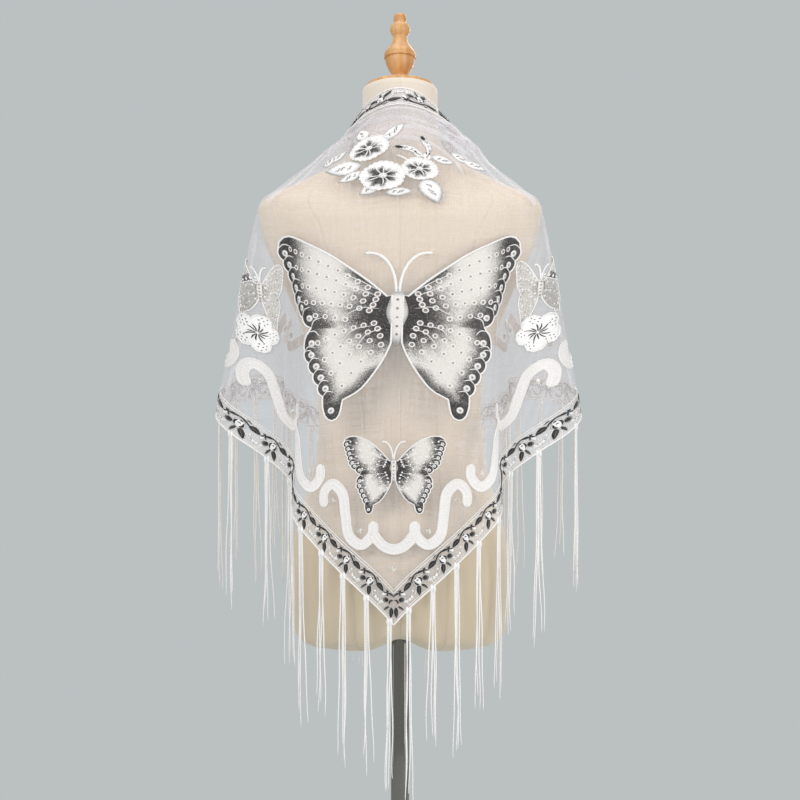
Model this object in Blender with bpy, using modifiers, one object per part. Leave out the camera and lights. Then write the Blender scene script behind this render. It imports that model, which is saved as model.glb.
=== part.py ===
"""Sheer triangle scarf, worn round the neck of a limbless dress form.

The origin is the centre of the stand's underside and +Z is up.  The form faces +Y, so the
scarf's point hangs at the back, towards -Y.  Sizes are in metres and angles in degrees.
"""
import math

import bmesh
import bpy
import numpy as np
from mathutils import Matrix, Vector
from mathutils.geometry import delaunay_2d_cdt

MODEL = "triangle_scarf"
SEAM_GAP = 0.0003

# The cloth laid flat: half of a square, folded corner to corner.  A flat point is (s, t): s runs
# along the long edge from its middle, and t runs from that edge to the scarf's point.
HALF_LENGTH = 0.745
CLOTH_WALL = 0.0012
TRIM_WALL = 0.0010
TRIM_WIDTH = 0.035
APPLIQUE_WALL = 0.0010
APPLIQUE_GAP = 0.0003

# The worn cloth, level by level from the collar's edge down.  Each level is an ellipse round Z with
# its half-width at the side, its depth at the back and at the front, and the height at each of the
# three.  `fold` says how far the folds have opened there, and `puff` the slack beside the neck.
LEVELS = {
    #                side    back    front   z_back z_side  z_front fold  puff
    "collar_edge":  (0.0555, 0.0550, 0.0610, 1.552, 1.5220, 1.488, 0.00, 0.00),
    "collar_foot":  (0.0660, 0.0760, 0.0700, 1.528, 1.5045, 1.463, 0.00, 0.50),
    "nape":         (0.0880, 0.0880, 0.0800, 1.495, 1.4800, 1.436, 0.00, 1.00),
    "yoke":         (0.1300, 0.0990, 0.0950, 1.442, 1.4490, 1.392, 0.00, 0.10),
    "shoulder":     (0.1750, 0.1060, 0.1140, 1.392, 1.4165, 1.345, 0.00, 0.00),
    "shoulder_end": (0.1950, 0.1085, 0.1260, 1.362, 1.4030, 1.322, 0.02, 0.00),
    "sleeve_head":  (0.2015, 0.1100, 0.1350, 1.335, 1.3830, 1.300, 0.08, 0.00),
    "upper_arm":    (0.2150, 0.1130, 0.1420, 1.270, 1.3200, 1.235, 0.32, 0.00),
    "elbow":        (0.2330, 0.1170, 0.1460, 1.170, 1.2200, 1.140, 0.68, 0.00),
    "side_hem":     (0.2550, 0.1240, 0.1500, 1.060, 1.1000, 1.030, 1.00, 0.00),
    "hip":          (0.2680, 0.1280, 0.1520, 0.900, 0.9500, 0.880, 1.00, 0.00),
    "below":        (0.2780, 0.1285, 0.1530, 0.700, 0.7500, 0.680, 1.00, 0.00),
}
# Folds that run down the cloth: a trough has a positive depth, a ridge a negative one.
FOLDS = {
    #                      azimuth, half-width, depth
    "behind_right":       (65.0, 6.0, 0.048),
    "behind_left":        (-65.0, 6.2, 0.047),
    "front_right_trough": (113.0, 8.0, 0.046),
    "front_right_ridge":  (128.0, 6.0, -0.016),
    "front_right_inner":  (143.0, 6.5, 0.026),
    "front_left_trough":  (-111.0, 8.5, 0.044),
    "front_left_ridge":   (-127.0, 6.0, -0.018),
    "front_left_inner":   (-142.0, 6.5, 0.027),
}
PUFF_AZIMUTH = 84.0
PUFF_HALF_WIDTH = 30.0
PUFF_DEPTH = 0.013
SWAY = -0.0025
POINT_SWAY = -0.006

# Where the cloth falls.  At each azimuth from the middle of the back one straight line of the flat
# cloth hangs down: it starts on the long edge at `start` and leans from the t direction by `lean`.
FALL_LINES = (
    # azimuth, start, lean
    (0.0, 0.000, 0.0),
    (30.0, 0.030, 3.9),
    (54.0, 0.054, 10.0),
    (62.0, 0.062, 13.0),
    (68.0, 0.068, 17.0),
    (74.0, 0.074, 21.3),
    (80.0, 0.080, 23.4),
    (90.0, 0.091, 25.5),
    (110.0, 0.112, 42.0),
    (130.0, 0.132, 60.0),
    (150.0, 0.152, 77.0),
    (168.0, 0.170, 90.0),
)
FRONT_EDGE = 168.0
SIDE_FOLD = 65.0
SIDE_FOLD_RADIUS = 0.150
COLLAR_END = 130.0

# Azimuths of the panels' columns, denser where the cloth folds, and the rows between its two bands
BACK_COLUMNS = (0.0, 7.0, 14.0, 21.0, 28.0, 35.0, 41.0, 46.0, 50.0, 54.0, 58.0, 61.5)
SIDE_COLUMNS = (68.5, 72.0, 76.0, 81.0, 86.0, 91.0, 97.0, 103.0, 107.0, 111.0, 115.0, 119.0,
                124.0, 130.0, 136.0, 140.0, 144.0, 149.0, 155.0, 161.0, 168.0)
ROW_SHARES = (0.0, 0.10, 0.20, 0.29, 0.35, 0.40, 0.46, 0.55, 0.66, 0.78, 0.89, 1.0)

# Fringe: knots along each short edge, with three locks of thread in each
FRINGE_LENGTH = 0.255
KNOTS = 22
LOCKS_PER_KNOT = 3
LOCK_WIDTH = 0.0026
LOCK_END = 0.0008
LOCK_SPREAD = 0.008
LOCK_UNEVENNESS = 0.03
HIP_CLEARANCE = 0.004
STRIP_HEIGHT = 0.0040
STRIP_WALL = 0.0022
FIRST_KNOT = {"left": 0.010, "right": 0.032}

# Appliques, in flat points.  A butterfly's right half, from its head round to the end of its body,
# as (across, up) from its middle for the large one; the others are the same shape made smaller.
BUTTERFLY_ANTENNA = ((0.002, 0.034), (0.006, 0.054), (0.014, 0.069), (0.024, 0.077), (0.031, 0.077))
BUTTERFLY_SHOULDER = ((0.007, 0.032), (0.012, 0.029))
BUTTERFLY_LEADING_EDGE = ((0.012, 0.029), (0.042, 0.063), (0.072, 0.094), (0.100, 0.114),
                          (0.122, 0.118), (0.135, 0.110), (0.138, 0.097))
BUTTERFLY_FORE_MARGIN = ((0.138, 0.097), (0.101, 0.001))
BUTTERFLY_HIND_MARGIN = ((0.108, -0.010), (0.113, -0.036), (0.094, -0.094))
BUTTERFLY_TAIL = ((0.094, -0.094), (0.095, -0.112), (0.088, -0.127), (0.076, -0.131), (0.066, -0.122),
                  (0.062, -0.104))
BUTTERFLY_INNER_EDGE = ((0.062, -0.104), (0.040, -0.088), (0.022, -0.062), (0.010, -0.034))
BUTTERFLY_BODY_END = ((0.006, -0.030), (0.003, -0.040))
ANTENNA_WIDTH = 0.0030
SCALLOP_HEIGHT = 0.0035
LOBE_ROUNDNESS = 0.6
BUTTERFLIES = {
    #                        s,      t,      scale
    "butterfly_large":      (0.0000, 0.3300, 1.00),
    "butterfly_small":      (0.0000, 0.5360, 0.47),
    "butterfly_side_left":  (-0.1960, 0.2930, 0.36),
    "butterfly_side_right": (0.1960, 0.2870, 0.36),
}
FLOWERS = {"flower_left": (-0.181, 0.350), "flower_right": (0.181, 0.348)}
FLOWER_RADIUS = 0.027
FLOWER_PETALS = 5
PETAL_STEPS = 6
PETAL_DEPTH = 0.28

# One scroll of flat braid, from its knob past its foot and its top to its hook, as (across, up) from
# the foot.  The scrolls step along the hem by one pitch each, with an arc between the first two.
SCROLL_WIDTH = 0.0135
SCROLL = ((-0.0175, 0.0300), (-0.0155, 0.0120), (0.0000, 0.0000), (0.0165, 0.0150), (0.0200, 0.0440),
          (0.0225, 0.0710), (0.0360, 0.0860), (0.0500, 0.0760), (0.0520, 0.0560))
SCROLL_FOOT = (0.0455, 0.6330)
SCROLL_PITCH = (0.0710, -0.0845)
SCROLLS_PER_SIDE = 6
SCROLL_STATIONS = 13
SCROLL_BLUNT_END = 0.15
CENTRE_ARC = ((-0.0190, 0.6300), (-0.0115, 0.6385), (0.0000, 0.6420), (0.0115, 0.6385), (0.0190, 0.6300))

# Sprays at the nape: each is one outline round its flower heads and leaves, given as ellipses
SPRAY_STEPS = 44
STEM_REACH = 0.006
SPRAYS = {
    # the middle, then each ellipse's s, t, half-length, half-width and turn
    "spray_left": ((-0.0250, 0.1120), (
        (-0.0304, 0.0938, 0.0190, 0.0190, 0), (-0.0166, 0.1359, 0.0178, 0.0178, 0),
        (-0.0392, 0.0697, 0.0110, 0.0110, 0), (-0.0090, 0.0780, 0.0190, 0.0065, 42),
        (-0.0500, 0.1200, 0.0200, 0.0090, 14), (-0.0030, 0.1570, 0.0110, 0.0045, -20),
    )),
    "spray_right": ((0.0220, 0.1200), (
        (0.0190, 0.1259, 0.0166, 0.0166, 0), (0.0290, 0.1500, 0.0190, 0.0085, -66),
        (0.0400, 0.1080, 0.0150, 0.0055, 12), (0.0240, 0.0880, 0.0190, 0.0050, -72),
        (0.0080, 0.1010, 0.0150, 0.0045, -20),
    )),
}

# Dress form: an ellipse at each height, with its middle moved forward and its plane tipped, as a
# drop in height for each metre forward
TORSO = (
    # z, half-width, back, front, forward, tip
    (0.782, 0.128, 0.088, 0.078, 0.000, 0.00),
    (0.792, 0.143, 0.106, 0.092, 0.000, 0.00),
    (0.815, 0.149, 0.115, 0.098, 0.000, 0.00),
    (0.871, 0.152, 0.120, 0.103, 0.000, 0.00),
    (0.927, 0.148, 0.114, 0.105, 0.000, 0.00),
    (0.983, 0.134, 0.098, 0.103, 0.000, 0.00),
    (1.039, 0.118, 0.082, 0.100, 0.000, 0.00),
    (1.095, 0.1135, 0.076, 0.100, 0.000, 0.00),
    (1.155, 0.117, 0.081, 0.105, 0.000, 0.00),
    (1.200, 0.129, 0.088, 0.114, 0.000, 0.00),
    (1.236, 0.142, 0.094, 0.124, 0.000, 0.00),
    (1.277, 0.160, 0.100, 0.130, 0.000, 0.00),
    (1.310, 0.175, 0.103, 0.126, 0.000, 0.00),
    (1.343, 0.1890, 0.106, 0.112, 0.000, 0.00),
    (1.370, 0.1960, 0.106, 0.098, 0.000, 0.00),
    (1.388, 0.1982, 0.100, 0.087, 0.000, 0.00),
    (1.400, 0.1926, 0.094, 0.079, 0.000, 0.00),
    (1.409, 0.1785, 0.088, 0.072, 0.000, 0.00),
    (1.420, 0.1560, 0.082, 0.066, 0.000, 0.00),
    (1.435, 0.1240, 0.076, 0.060, 0.000, 0.00),
    (1.450, 0.0930, 0.070, 0.056, 0.001, 0.03),
    (1.472, 0.0640, 0.061, 0.052, 0.003, 0.09),
    (1.496, 0.0540, 0.055, 0.051, 0.004, 0.14),
    (1.520, 0.0525, 0.053, 0.052, 0.006, 0.19),
    (1.556, 0.0525, 0.0525, 0.0525, 0.008, 0.23),
)
TORSO_SIDES = 24
ARCH_HEIGHT = 0.018
ARCH_HALF_WIDTH = 0.028
ARCH_FADE = 0.045
SOCKET_DEPTH = 0.060
SOCKET_LIP = 0.002
# The underside's rings inside the first one: share of its size and drop below it
UNDERSIDE = ((0.35, 0.0055), (0.65, 0.0050), (0.88, 0.0030))

CAP_RADIUS = 0.0485
CAP_THICKNESS = 0.0062
CAP_SIDES = 32
CAP_EDGE = 0.0012
POLE_RADIUS = 0.011
POLE_SIDES = 24
BASE_PROFILE = (
    # radius, height
    (0.0000, 0.0320), (0.0180, 0.0320), (0.0200, 0.0300), (0.0200, 0.0170), (0.0300, 0.0130),
    (0.1250, 0.0100), (0.1540, 0.0070), (0.1600, 0.0030), (0.1590, 0.0000), (0.0000, 0.0000),
)
FINIAL_PROFILE = (
    # radius, height above the cap
    (0.0000, 0.0900), (0.0040, 0.0897), (0.0076, 0.0878), (0.0090, 0.0845), (0.0090, 0.0790),
    (0.0118, 0.0775), (0.0140, 0.0730), (0.0140, 0.0680), (0.0118, 0.0635), (0.0096, 0.0610),
    (0.0093, 0.0540), (0.0102, 0.0480), (0.0135, 0.0440), (0.0205, 0.0415), (0.0225, 0.0390),
    (0.0200, 0.0350), (0.0208, 0.0325), (0.0200, 0.0260), (0.0168, 0.0170), (0.0092, 0.0055),
    (0.0108, 0.0020), (0.0108, 0.0000), (0.0000, 0.0000),
)
TURNED_STEPS = 16

LINEN = ((0.76, 0.68, 0.58), 0.9, 0.0)
WOOD = ((0.70, 0.43, 0.18), 0.35, 0.0)
STEEL = ((0.60, 0.60, 0.60), 0.25, 1.0)
SHEER = ((0.86, 0.87, 0.90), 0.6, 0.0)
BLACK_WHITE = ((0.35, 0.35, 0.35), 0.7, 0.0)
THREAD = ((0.90, 0.90, 0.90), 0.5, 0.0)
BRAID = ((0.93, 0.93, 0.92), 0.6, 0.0)
DARK_SATIN = ((0.12, 0.11, 0.10), 0.5, 0.0)


def clear_scene():
    for item in list(bpy.data.objects):
        bpy.data.objects.remove(item, do_unlink=True)
    collection = bpy.data.collections.new(MODEL)
    bpy.context.scene.collection.children.link(collection)
    return collection


def material(name, finish):
    """A plain principled material: its colour, roughness and metallic value."""
    colour, roughness, metallic = finish
    result = bpy.data.materials.get(name) or bpy.data.materials.new(name)
    result.use_nodes = True
    shader = result.node_tree.nodes["Principled BSDF"]
    shader.inputs["Base Color"].default_value = (*colour, 1.0)
    shader.inputs["Roughness"].default_value = roughness
    shader.inputs["Metallic"].default_value = metallic
    return result


def add_object(name, mesh, finish_name, finish):
    """Put a mesh in the model under its sub-part's name, with its material."""
    mesh.name = name
    mesh.materials.clear()
    mesh.materials.append(material(finish_name, finish))
    result = bpy.data.objects.new(name, mesh)
    COLLECTION.objects.link(result)
    mesh.shade_smooth()
    return result


def mesh_from(bm, name):
    mesh = bpy.data.meshes.new(name)
    bm.to_mesh(mesh)
    bm.free()
    return mesh


def smooth_rows(stations, rows, at):
    """Monotone cubic values of every column of `rows` at the places `at`."""
    stations = np.asarray(stations, float)
    rows = np.asarray(rows, float)
    at = np.asarray(at, float)
    step = np.diff(stations)[:, None]
    slope = np.diff(rows, axis=0) / step
    before = slope[:-1]
    after = slope[1:]
    same_way = before * after > 0
    tangent = np.empty_like(rows)
    tangent[0] = slope[0]
    tangent[-1] = slope[-1]
    tangent[1:-1] = np.where(same_way, 2 * before * after / np.where(same_way, before + after, 1), 0)
    index = np.clip(np.searchsorted(stations, at, side="right") - 1, 0, len(step) - 1)
    width = step[index]
    f = (at - stations[index])[:, None] / width
    return (rows[index] * (1 + 2 * f) * (1 - f) ** 2
            + tangent[index] * width * f * (1 - f) ** 2
            + rows[index + 1] * f * f * (3 - 2 * f)
            + tangent[index + 1] * width * f * f * (f - 1))


class Drape:
    """The worn cloth's middle surface, read by azimuth and distance down a fall line."""

    azimuth_step = 0.5
    run_step = 0.0025
    longest_run = 0.80
    samples_per_level = 30

    def __init__(self):
        steps = round(FRONT_EDGE / self.azimuth_step)
        azimuth = np.arange(-steps, steps + 1)[:, None] * self.azimuth_step
        count = (len(LEVELS) - 1) * self.samples_per_level + 1
        values = smooth_rows(range(len(LEVELS)), list(LEVELS.values()),
                             np.linspace(0, len(LEVELS) - 1, count))
        side, back, front, z_back, z_side, z_front, fold, puff = values.T[:, None, :]
        sine = np.sin(np.radians(azimuth))
        cosine = np.cos(np.radians(azimuth))
        depth = np.where(cosine > 0, back, front)
        radius = 1 / np.sqrt((sine / side) ** 2 + (cosine / depth) ** 2)
        for centre, half_width, dip in FOLDS.values():
            radius = radius - fold * dip * np.exp(-0.5 * ((azimuth - centre) / half_width) ** 2)
        radius = radius + puff * PUFF_DEPTH * np.exp(
            -0.5 * ((azimuth - PUFF_AZIMUTH) / PUFF_HALF_WIDTH) ** 2)
        middle = np.where(cosine > 0, z_back, z_front)
        height = z_side + (middle - z_side) * cosine ** 2
        sway = (SWAY + POINT_SWAY * np.maximum(cosine, 0) ** 2) * fold
        path = np.stack([radius * sine + sway, -radius * cosine, height], axis=2)
        length = np.linalg.norm(np.diff(path, axis=1), axis=2)
        run = np.concatenate([np.zeros((len(path), 1)), np.cumsum(length, axis=1)], axis=1)
        at = np.arange(0, self.longest_run, self.run_step)
        self.points = np.stack([
            np.stack([np.interp(at, run[i], path[i, :, axis]) for axis in range(3)], axis=1)
            for i in range(len(path))])
        across = np.gradient(self.points, axis=0)
        down = np.gradient(self.points, axis=1)
        normals = np.cross(down, across)
        self.normals = normals / np.linalg.norm(normals, axis=2, keepdims=True)

    def sample(self, grid, azimuth, run):
        """Bilinear reading of a grid at azimuths and runs."""
        column = (np.asarray(azimuth, float) + FRONT_EDGE) / self.azimuth_step
        row = np.asarray(run, float) / self.run_step
        i = np.clip(np.floor(column).astype(int), 0, grid.shape[0] - 2)
        j = np.clip(np.floor(row).astype(int), 0, grid.shape[1] - 2)
        u = (column - i)[..., None]
        v = (row - j)[..., None]
        return ((1 - u) * (1 - v) * grid[i, j] + u * (1 - v) * grid[i + 1, j]
                + (1 - u) * v * grid[i, j + 1] + u * v * grid[i + 1, j + 1])

    def at_fall(self, azimuth, run, lift=0.0):
        """Points on the cloth, or `lift` outside it."""
        normal = self.sample(self.normals, azimuth, run)
        normal = normal / np.linalg.norm(normal, axis=-1, keepdims=True)
        return self.sample(self.points, azimuth, run) + lift * normal

    def at_flat(self, s, t, lift=0.0):
        """The same for points of the flat cloth."""
        azimuth, run = fall_coordinates(s, t)
        return self.at_fall(azimuth, run, lift)


def fall_line(azimuth):
    """Start on the long edge and lean (radians) of the fall lines at azimuths of 0 or more."""
    rows = [row[1:] for row in FALL_LINES]
    values = smooth_rows([row[0] for row in FALL_LINES], rows, np.ravel(azimuth))
    shape = np.shape(azimuth)
    return values[:, 0].reshape(shape), np.radians(values[:, 1]).reshape(shape)


def fall_coordinates(s, t):
    """Azimuth and distance down the fall line of flat points, found by halving the angle."""
    s = np.asarray(s, float)
    t = np.asarray(t, float)
    low = np.zeros(s.shape)
    high = np.full(s.shape, FRONT_EDGE)
    for _ in range(32):
        middle = (low + high) / 2
        start, lean = fall_line(middle)
        beyond = (np.abs(s) - start) * np.cos(lean) - t * np.sin(lean) > 0
        low = np.where(beyond, middle, low)
        high = np.where(beyond, high, middle)
    start, _ = fall_line(middle)
    return np.sign(s) * middle, np.hypot(np.abs(s) - start, t)


def run_to_hem(azimuth):
    """Distance down the fall line from the long edge to the short edge."""
    start, lean = fall_line(np.abs(azimuth))
    return (HALF_LENGTH - start) / (np.sin(lean) + np.cos(lean))


def run_of_collar_band(azimuth):
    """Distance down the fall line across the long edge's band."""
    _, lean = fall_line(np.minimum(np.abs(azimuth), COLLAR_END))
    return TRIM_WIDTH / np.cos(lean)


def run_to_hem_band(azimuth):
    """Distance down the fall line to the upper side of the short edge's band."""
    _, lean = fall_line(np.abs(azimuth))
    return run_to_hem(azimuth) - TRIM_WIDTH / np.cos(math.radians(45) - lean)


def surface(points):
    """An open mesh over a grid of points, cut in triangles the same way everywhere."""
    columns, rows = points.shape[:2]
    bm = bmesh.new()
    bmesh.ops.create_grid(bm, x_segments=columns - 1, y_segments=rows - 1, size=1.0)
    for vert in bm.verts:
        i = round((vert.co.x + 1) / 2 * (columns - 1))
        j = round((vert.co.y + 1) / 2 * (rows - 1))
        vert.co = points[i, rows - 1 - j]
    bmesh.ops.triangulate(bm, faces=bm.faces[:], quad_method="FIXED")
    return bm


def thicken(item, wall):
    """Give an open surface its wall, half to each side."""
    shell = item.modifiers.new("wall", "SOLIDIFY")
    shell.thickness = wall
    shell.offset = 0.0
    return item


def side_sign(side):
    return -1.0 if side == "left" else 1.0


def edge_azimuth():
    """Half a seam's gap, as an angle at the foot of the side fold."""
    return math.degrees(SEAM_GAP / SIDE_FOLD_RADIUS)


def panel_columns(panel):
    """Azimuths of a panel's columns from left to right."""
    if panel == "back":
        half = [*BACK_COLUMNS, SIDE_FOLD - edge_azimuth()]
        return np.array([-value for value in half[:0:-1]] + half)
    columns = np.array([SIDE_FOLD + edge_azimuth(), *SIDE_COLUMNS])
    return columns if panel == "right" else -columns[::-1]


def panel_runs(columns):
    """Runs of a panel's rows: the collar band's two edges, those between and the hem band's two."""
    first = run_of_collar_band(columns)
    last = run_to_hem_band(columns)
    runs = [np.zeros(len(columns))]
    runs += [first + (last - first) * share for share in ROW_SHARES]
    runs.append(run_to_hem(columns))
    return np.stack(runs, axis=1)


def panel_points(columns):
    runs = panel_runs(columns)
    azimuth = np.repeat(columns[:, None], runs.shape[1], axis=1)
    return DRAPE.at_fall(azimuth, runs)


def build_scarf():
    for panel in ("back", "left", "right"):
        mesh = mesh_from(surface(panel_points(panel_columns(panel))), panel)
        thicken(add_object(f"scarf_{panel}", mesh, "sheer_cloth", SHEER), CLOTH_WALL)


def side_columns(side):
    """Columns of the back and side panels together, from the centre back to one front edge."""
    half = [value for value in panel_columns("back") if value > 0]
    columns = np.array([0.0, *half, *panel_columns("right")])
    return columns if side == "right" else -columns[::-1]


def build_hem_trims():
    """One band on each short edge, on the last row of the panels' own points."""
    lift = CLOTH_WALL / 2 + SEAM_GAP + TRIM_WALL / 2
    for side in ("left", "right"):
        columns = side_columns(side)
        centre = np.abs(columns) < 1e-6
        columns = np.where(centre, side_sign(side) * edge_azimuth() / 2, columns)
        runs = np.stack([run_to_hem_band(columns), run_to_hem(columns) - SEAM_GAP], axis=1)
        azimuth = np.repeat(columns[:, None], 2, axis=1)
        mesh = mesh_from(surface(DRAPE.at_fall(azimuth, runs, lift)), side)
        thicken(add_object(f"trim_{side}", mesh, "trim_band", BLACK_WHITE), TRIM_WALL)


def build_neck_trim():
    """The long edge's band, round the collar and down both fronts to the hem's bands."""
    mitre = HALF_LENGTH - math.sqrt(2) * TRIM_WIDTH - 2 * SEAM_GAP
    outline = [(-mitre, SEAM_GAP), (mitre, SEAM_GAP),
               (mitre - TRIM_WIDTH, TRIM_WIDTH), (TRIM_WIDTH - mitre, TRIM_WIDTH)]
    lay_applique("trim_neck", np.array(outline), "trim_band", BLACK_WHITE)


class Facets:
    """The panels' own flat facets, which carry whatever is sewn on them.

    Every triangle is kept as its three corners in the flat cloth, on the worn cloth and as normals.
    """

    def __init__(self):
        columns = np.concatenate([panel_columns(panel) for panel in ("left", "back", "right")])
        runs = panel_runs(columns)
        azimuth = np.repeat(columns[:, None], runs.shape[1], axis=1)
        start, lean = fall_line(np.abs(azimuth))
        sign = np.where(azimuth < 0, -1, 1)
        flat = np.stack([sign * (start + runs * np.sin(lean)), runs * np.cos(lean)], axis=2)
        worn = DRAPE.at_fall(azimuth, runs)
        bm = surface(np.concatenate([flat, np.zeros_like(flat[..., :1])], axis=2))
        bm.verts.ensure_lookup_table()
        place = {}
        for i in range(flat.shape[0]):
            for j in range(flat.shape[1]):
                place[tuple(np.float32(flat[i, j]).round(6))] = (i, j)
        self.index = [place[tuple(np.float32(vert.co[:2]).round(6))] for vert in bm.verts]
        self.flat = np.array([flat[key] for key in self.index])
        self.worn = np.array([worn[key] for key in self.index])
        self.normal = np.array([DRAPE.at_fall(azimuth[key], runs[key], 1.0) - worn[key]
                                for key in self.index])
        self.triangles = np.array([[vert.index for vert in face.verts] for face in bm.faces])
        bm.free()

    def near(self, low, high):
        """The triangles that reach into a flat rectangle."""
        corners = self.flat[self.triangles]
        inside = (corners.min(axis=1) < high).all(axis=1) & (corners.max(axis=1) > low).all(axis=1)
        return self.triangles[inside]

    def lay(self, triangle, point, lift):
        """A flat point inside one triangle, carried to the worn cloth and moved out by `lift`."""
        a, b, c = self.flat[triangle]
        v, w = np.linalg.solve(np.stack([b - a, c - a], axis=1), np.asarray(point) - a)
        weights = np.array([1 - v - w, v, w])
        return weights @ self.worn[triangle] + lift * (weights @ self.normal[triangle])


class HemLine:
    """The short edge as the panels' straight pieces, read by distance from the scarf's point."""

    def __init__(self, side):
        columns = side_columns("right")
        start, lean = fall_line(columns)
        run = run_to_hem(columns)
        self.distance = math.sqrt(2) * (start + run * np.sin(lean))
        azimuth = side_sign(side) * columns
        self.upper = DRAPE.at_fall(azimuth, run + 2 * SEAM_GAP)
        self.lower = DRAPE.at_fall(azimuth, run + 2 * SEAM_GAP + STRIP_HEIGHT)
        self.outward = DRAPE.at_fall(azimuth, run, 1.0) - DRAPE.at_fall(azimuth, run)

    def read(self, table, distance):
        return np.array([np.interp(distance, self.distance, table[:, axis]) for axis in range(3)])

    def ring(self, distance):
        """The strip's three corners at one place: its top edge, outer foot and inner foot."""
        half_wall = self.read(self.outward, distance) * STRIP_WALL / 2
        lower = self.read(self.lower, distance)
        return [self.read(self.upper, distance), lower + half_wall, lower - half_wall]


def lock_starts(side):
    """Where each lock of thread leaves the strip, and its place in its knot from -1 to 1."""
    pitch = (HALF_LENGTH * math.sqrt(2) - FIRST_KNOT[side]) / KNOTS
    starts = {}
    for knot in range(KNOTS):
        for lock in range(LOCKS_PER_KNOT):
            place = lock - (LOCKS_PER_KNOT - 1) / 2
            middle = FIRST_KNOT[side] + knot * pitch + place * LOCK_WIDTH
            starts[round(middle - LOCK_WIDTH / 2, 6)] = (place, knot)
    return starts


def clear_of_hips(point):
    """Move a hanging point out along its own radius until it clears the form's widest part."""
    _, half_width, back, front, _, _ = max(TORSO[:6], key=lambda row: row[1])
    depth = back if point.y < 0 else front
    share = math.hypot(point.x / half_width, point.y / depth)
    wanted = 1 + HIP_CLEARANCE / depth
    if share > wanted:
        return point
    return Vector((point.x * wanted / share, point.y * wanted / share, point.z))


def lock_end(line, distance, place, knot):
    """The square foot of one lock, which hangs plumb from its knot and spreads a little."""
    root = Vector(line.read(line.lower, distance))
    along = line.read(line.lower, distance + 0.01) - line.read(line.lower, distance - 0.01)
    along = Vector((along[0], along[1], 0)).normalized()
    outward = Vector((along.y, -along.x, 0))
    if outward.dot(Vector(line.read(line.outward, distance))) < 0:
        outward = -outward
    length = FRINGE_LENGTH * (1 + LOCK_UNEVENNESS * math.sin(2.3 * knot + 1.7 * place))
    drift = LOCK_SPREAD * (place + 0.4 * math.sin(1.9 * knot))
    middle = clear_of_hips(root + along * drift - Vector((0, 0, length)))
    a = along * LOCK_END
    n = outward * LOCK_END
    return [middle - a + n, middle + a + n, middle + a - n, middle - a - n]


def strip_stations(line, roots):
    """Where the strip has a ring: at the ends, at each lock's sides and at the panels' columns."""
    length = HALF_LENGTH * math.sqrt(2)
    sides = {value for root in roots for value in (root, round(root + LOCK_WIDTH, 6))}
    free = [float(value) for value in line.distance[1:-1]]
    free = {value for value in free if min(abs(value - side) for side in sides) > LOCK_WIDTH}
    return sorted(sides | free | {SEAM_GAP, length - SEAM_GAP})


def build_fringe():
    """Locks of thread on each short edge, grown out of a narrow strip along it."""
    for side in ("left", "right"):
        line = HemLine(side)
        roots = lock_starts(side)
        stations = strip_stations(line, roots)
        bm = bmesh.new()
        rings = [[bm.verts.new(corner) for corner in line.ring(value)] for value in stations]
        bm.faces.new(rings[0])
        bm.faces.new(reversed(rings[-1]))
        for value, near, far in zip(stations, rings, rings[1:]):
            bm.faces.new((near[0], far[0], far[1], near[1]))
            bm.faces.new((near[2], far[2], far[0], near[0]))
            foot = [near[1], far[1], far[2], near[2]]
            if value in roots:
                end = lock_end(line, value + LOCK_WIDTH / 2, *roots[value])
                lower = [bm.verts.new(corner) for corner in end]
                for corner in range(4):
                    after = (corner + 1) % 4
                    bm.faces.new((foot[corner], foot[after], lower[after], lower[corner]))
                foot = lower
            bm.faces.new(foot)
        bmesh.ops.recalc_face_normals(bm, faces=bm.faces[:])
        add_object(f"fringe_{side}", mesh_from(bm, side), "fringe_thread", THREAD)


def smooth_path(points, count):
    """A smooth open curve through hand-placed points, read at even lengths."""
    points = np.asarray(points, float)
    knots = np.arange(len(points))
    padded = np.vstack([2 * points[0] - points[1], points, 2 * points[-1] - points[-2]])
    at = np.linspace(0, len(points) - 1, 40 * len(points))
    i = np.clip(np.floor(at).astype(int), 0, len(knots) - 2)
    f = (at - i)[:, None]
    a, b, c, d = padded[i], padded[i + 1], padded[i + 2], padded[i + 3]
    curve = 0.5 * (2 * b + (c - a) * f + (2 * a - 5 * b + 4 * c - d) * f ** 2
                   + (3 * b - a - 3 * c + d) * f ** 3)
    run = np.append(0, np.cumsum(np.linalg.norm(np.diff(curve, axis=0), axis=1)))
    wanted = np.linspace(0, run[-1], count)
    return np.stack([np.interp(wanted, run, curve[:, axis]) for axis in range(2)], axis=1)


def band_sides(path, width):
    """The two sides of a band along a path: left and right of its direction."""
    direction = np.gradient(path, axis=0)
    direction = direction / np.linalg.norm(direction, axis=1, keepdims=True)
    across = np.stack([-direction[:, 1], direction[:, 0]], axis=1) * width / 2
    return path + across, path - across


def scallops(start, end, count, detail):
    """Shallow lobes from start to end, bulging outwards, each in `detail` straight pieces."""
    start = np.array(start)
    end = np.array(end)
    along = end - start
    outward = np.array([-along[1], along[0]]) / np.linalg.norm(along)
    points = []
    for step in range(count * detail + 1):
        bulge = abs(math.sin(math.pi * step / detail)) ** LOBE_ROUNDNESS
        points.append(start + along * step / (count * detail) + outward * SCALLOP_HEIGHT * bulge)
    return np.array(points)


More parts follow.
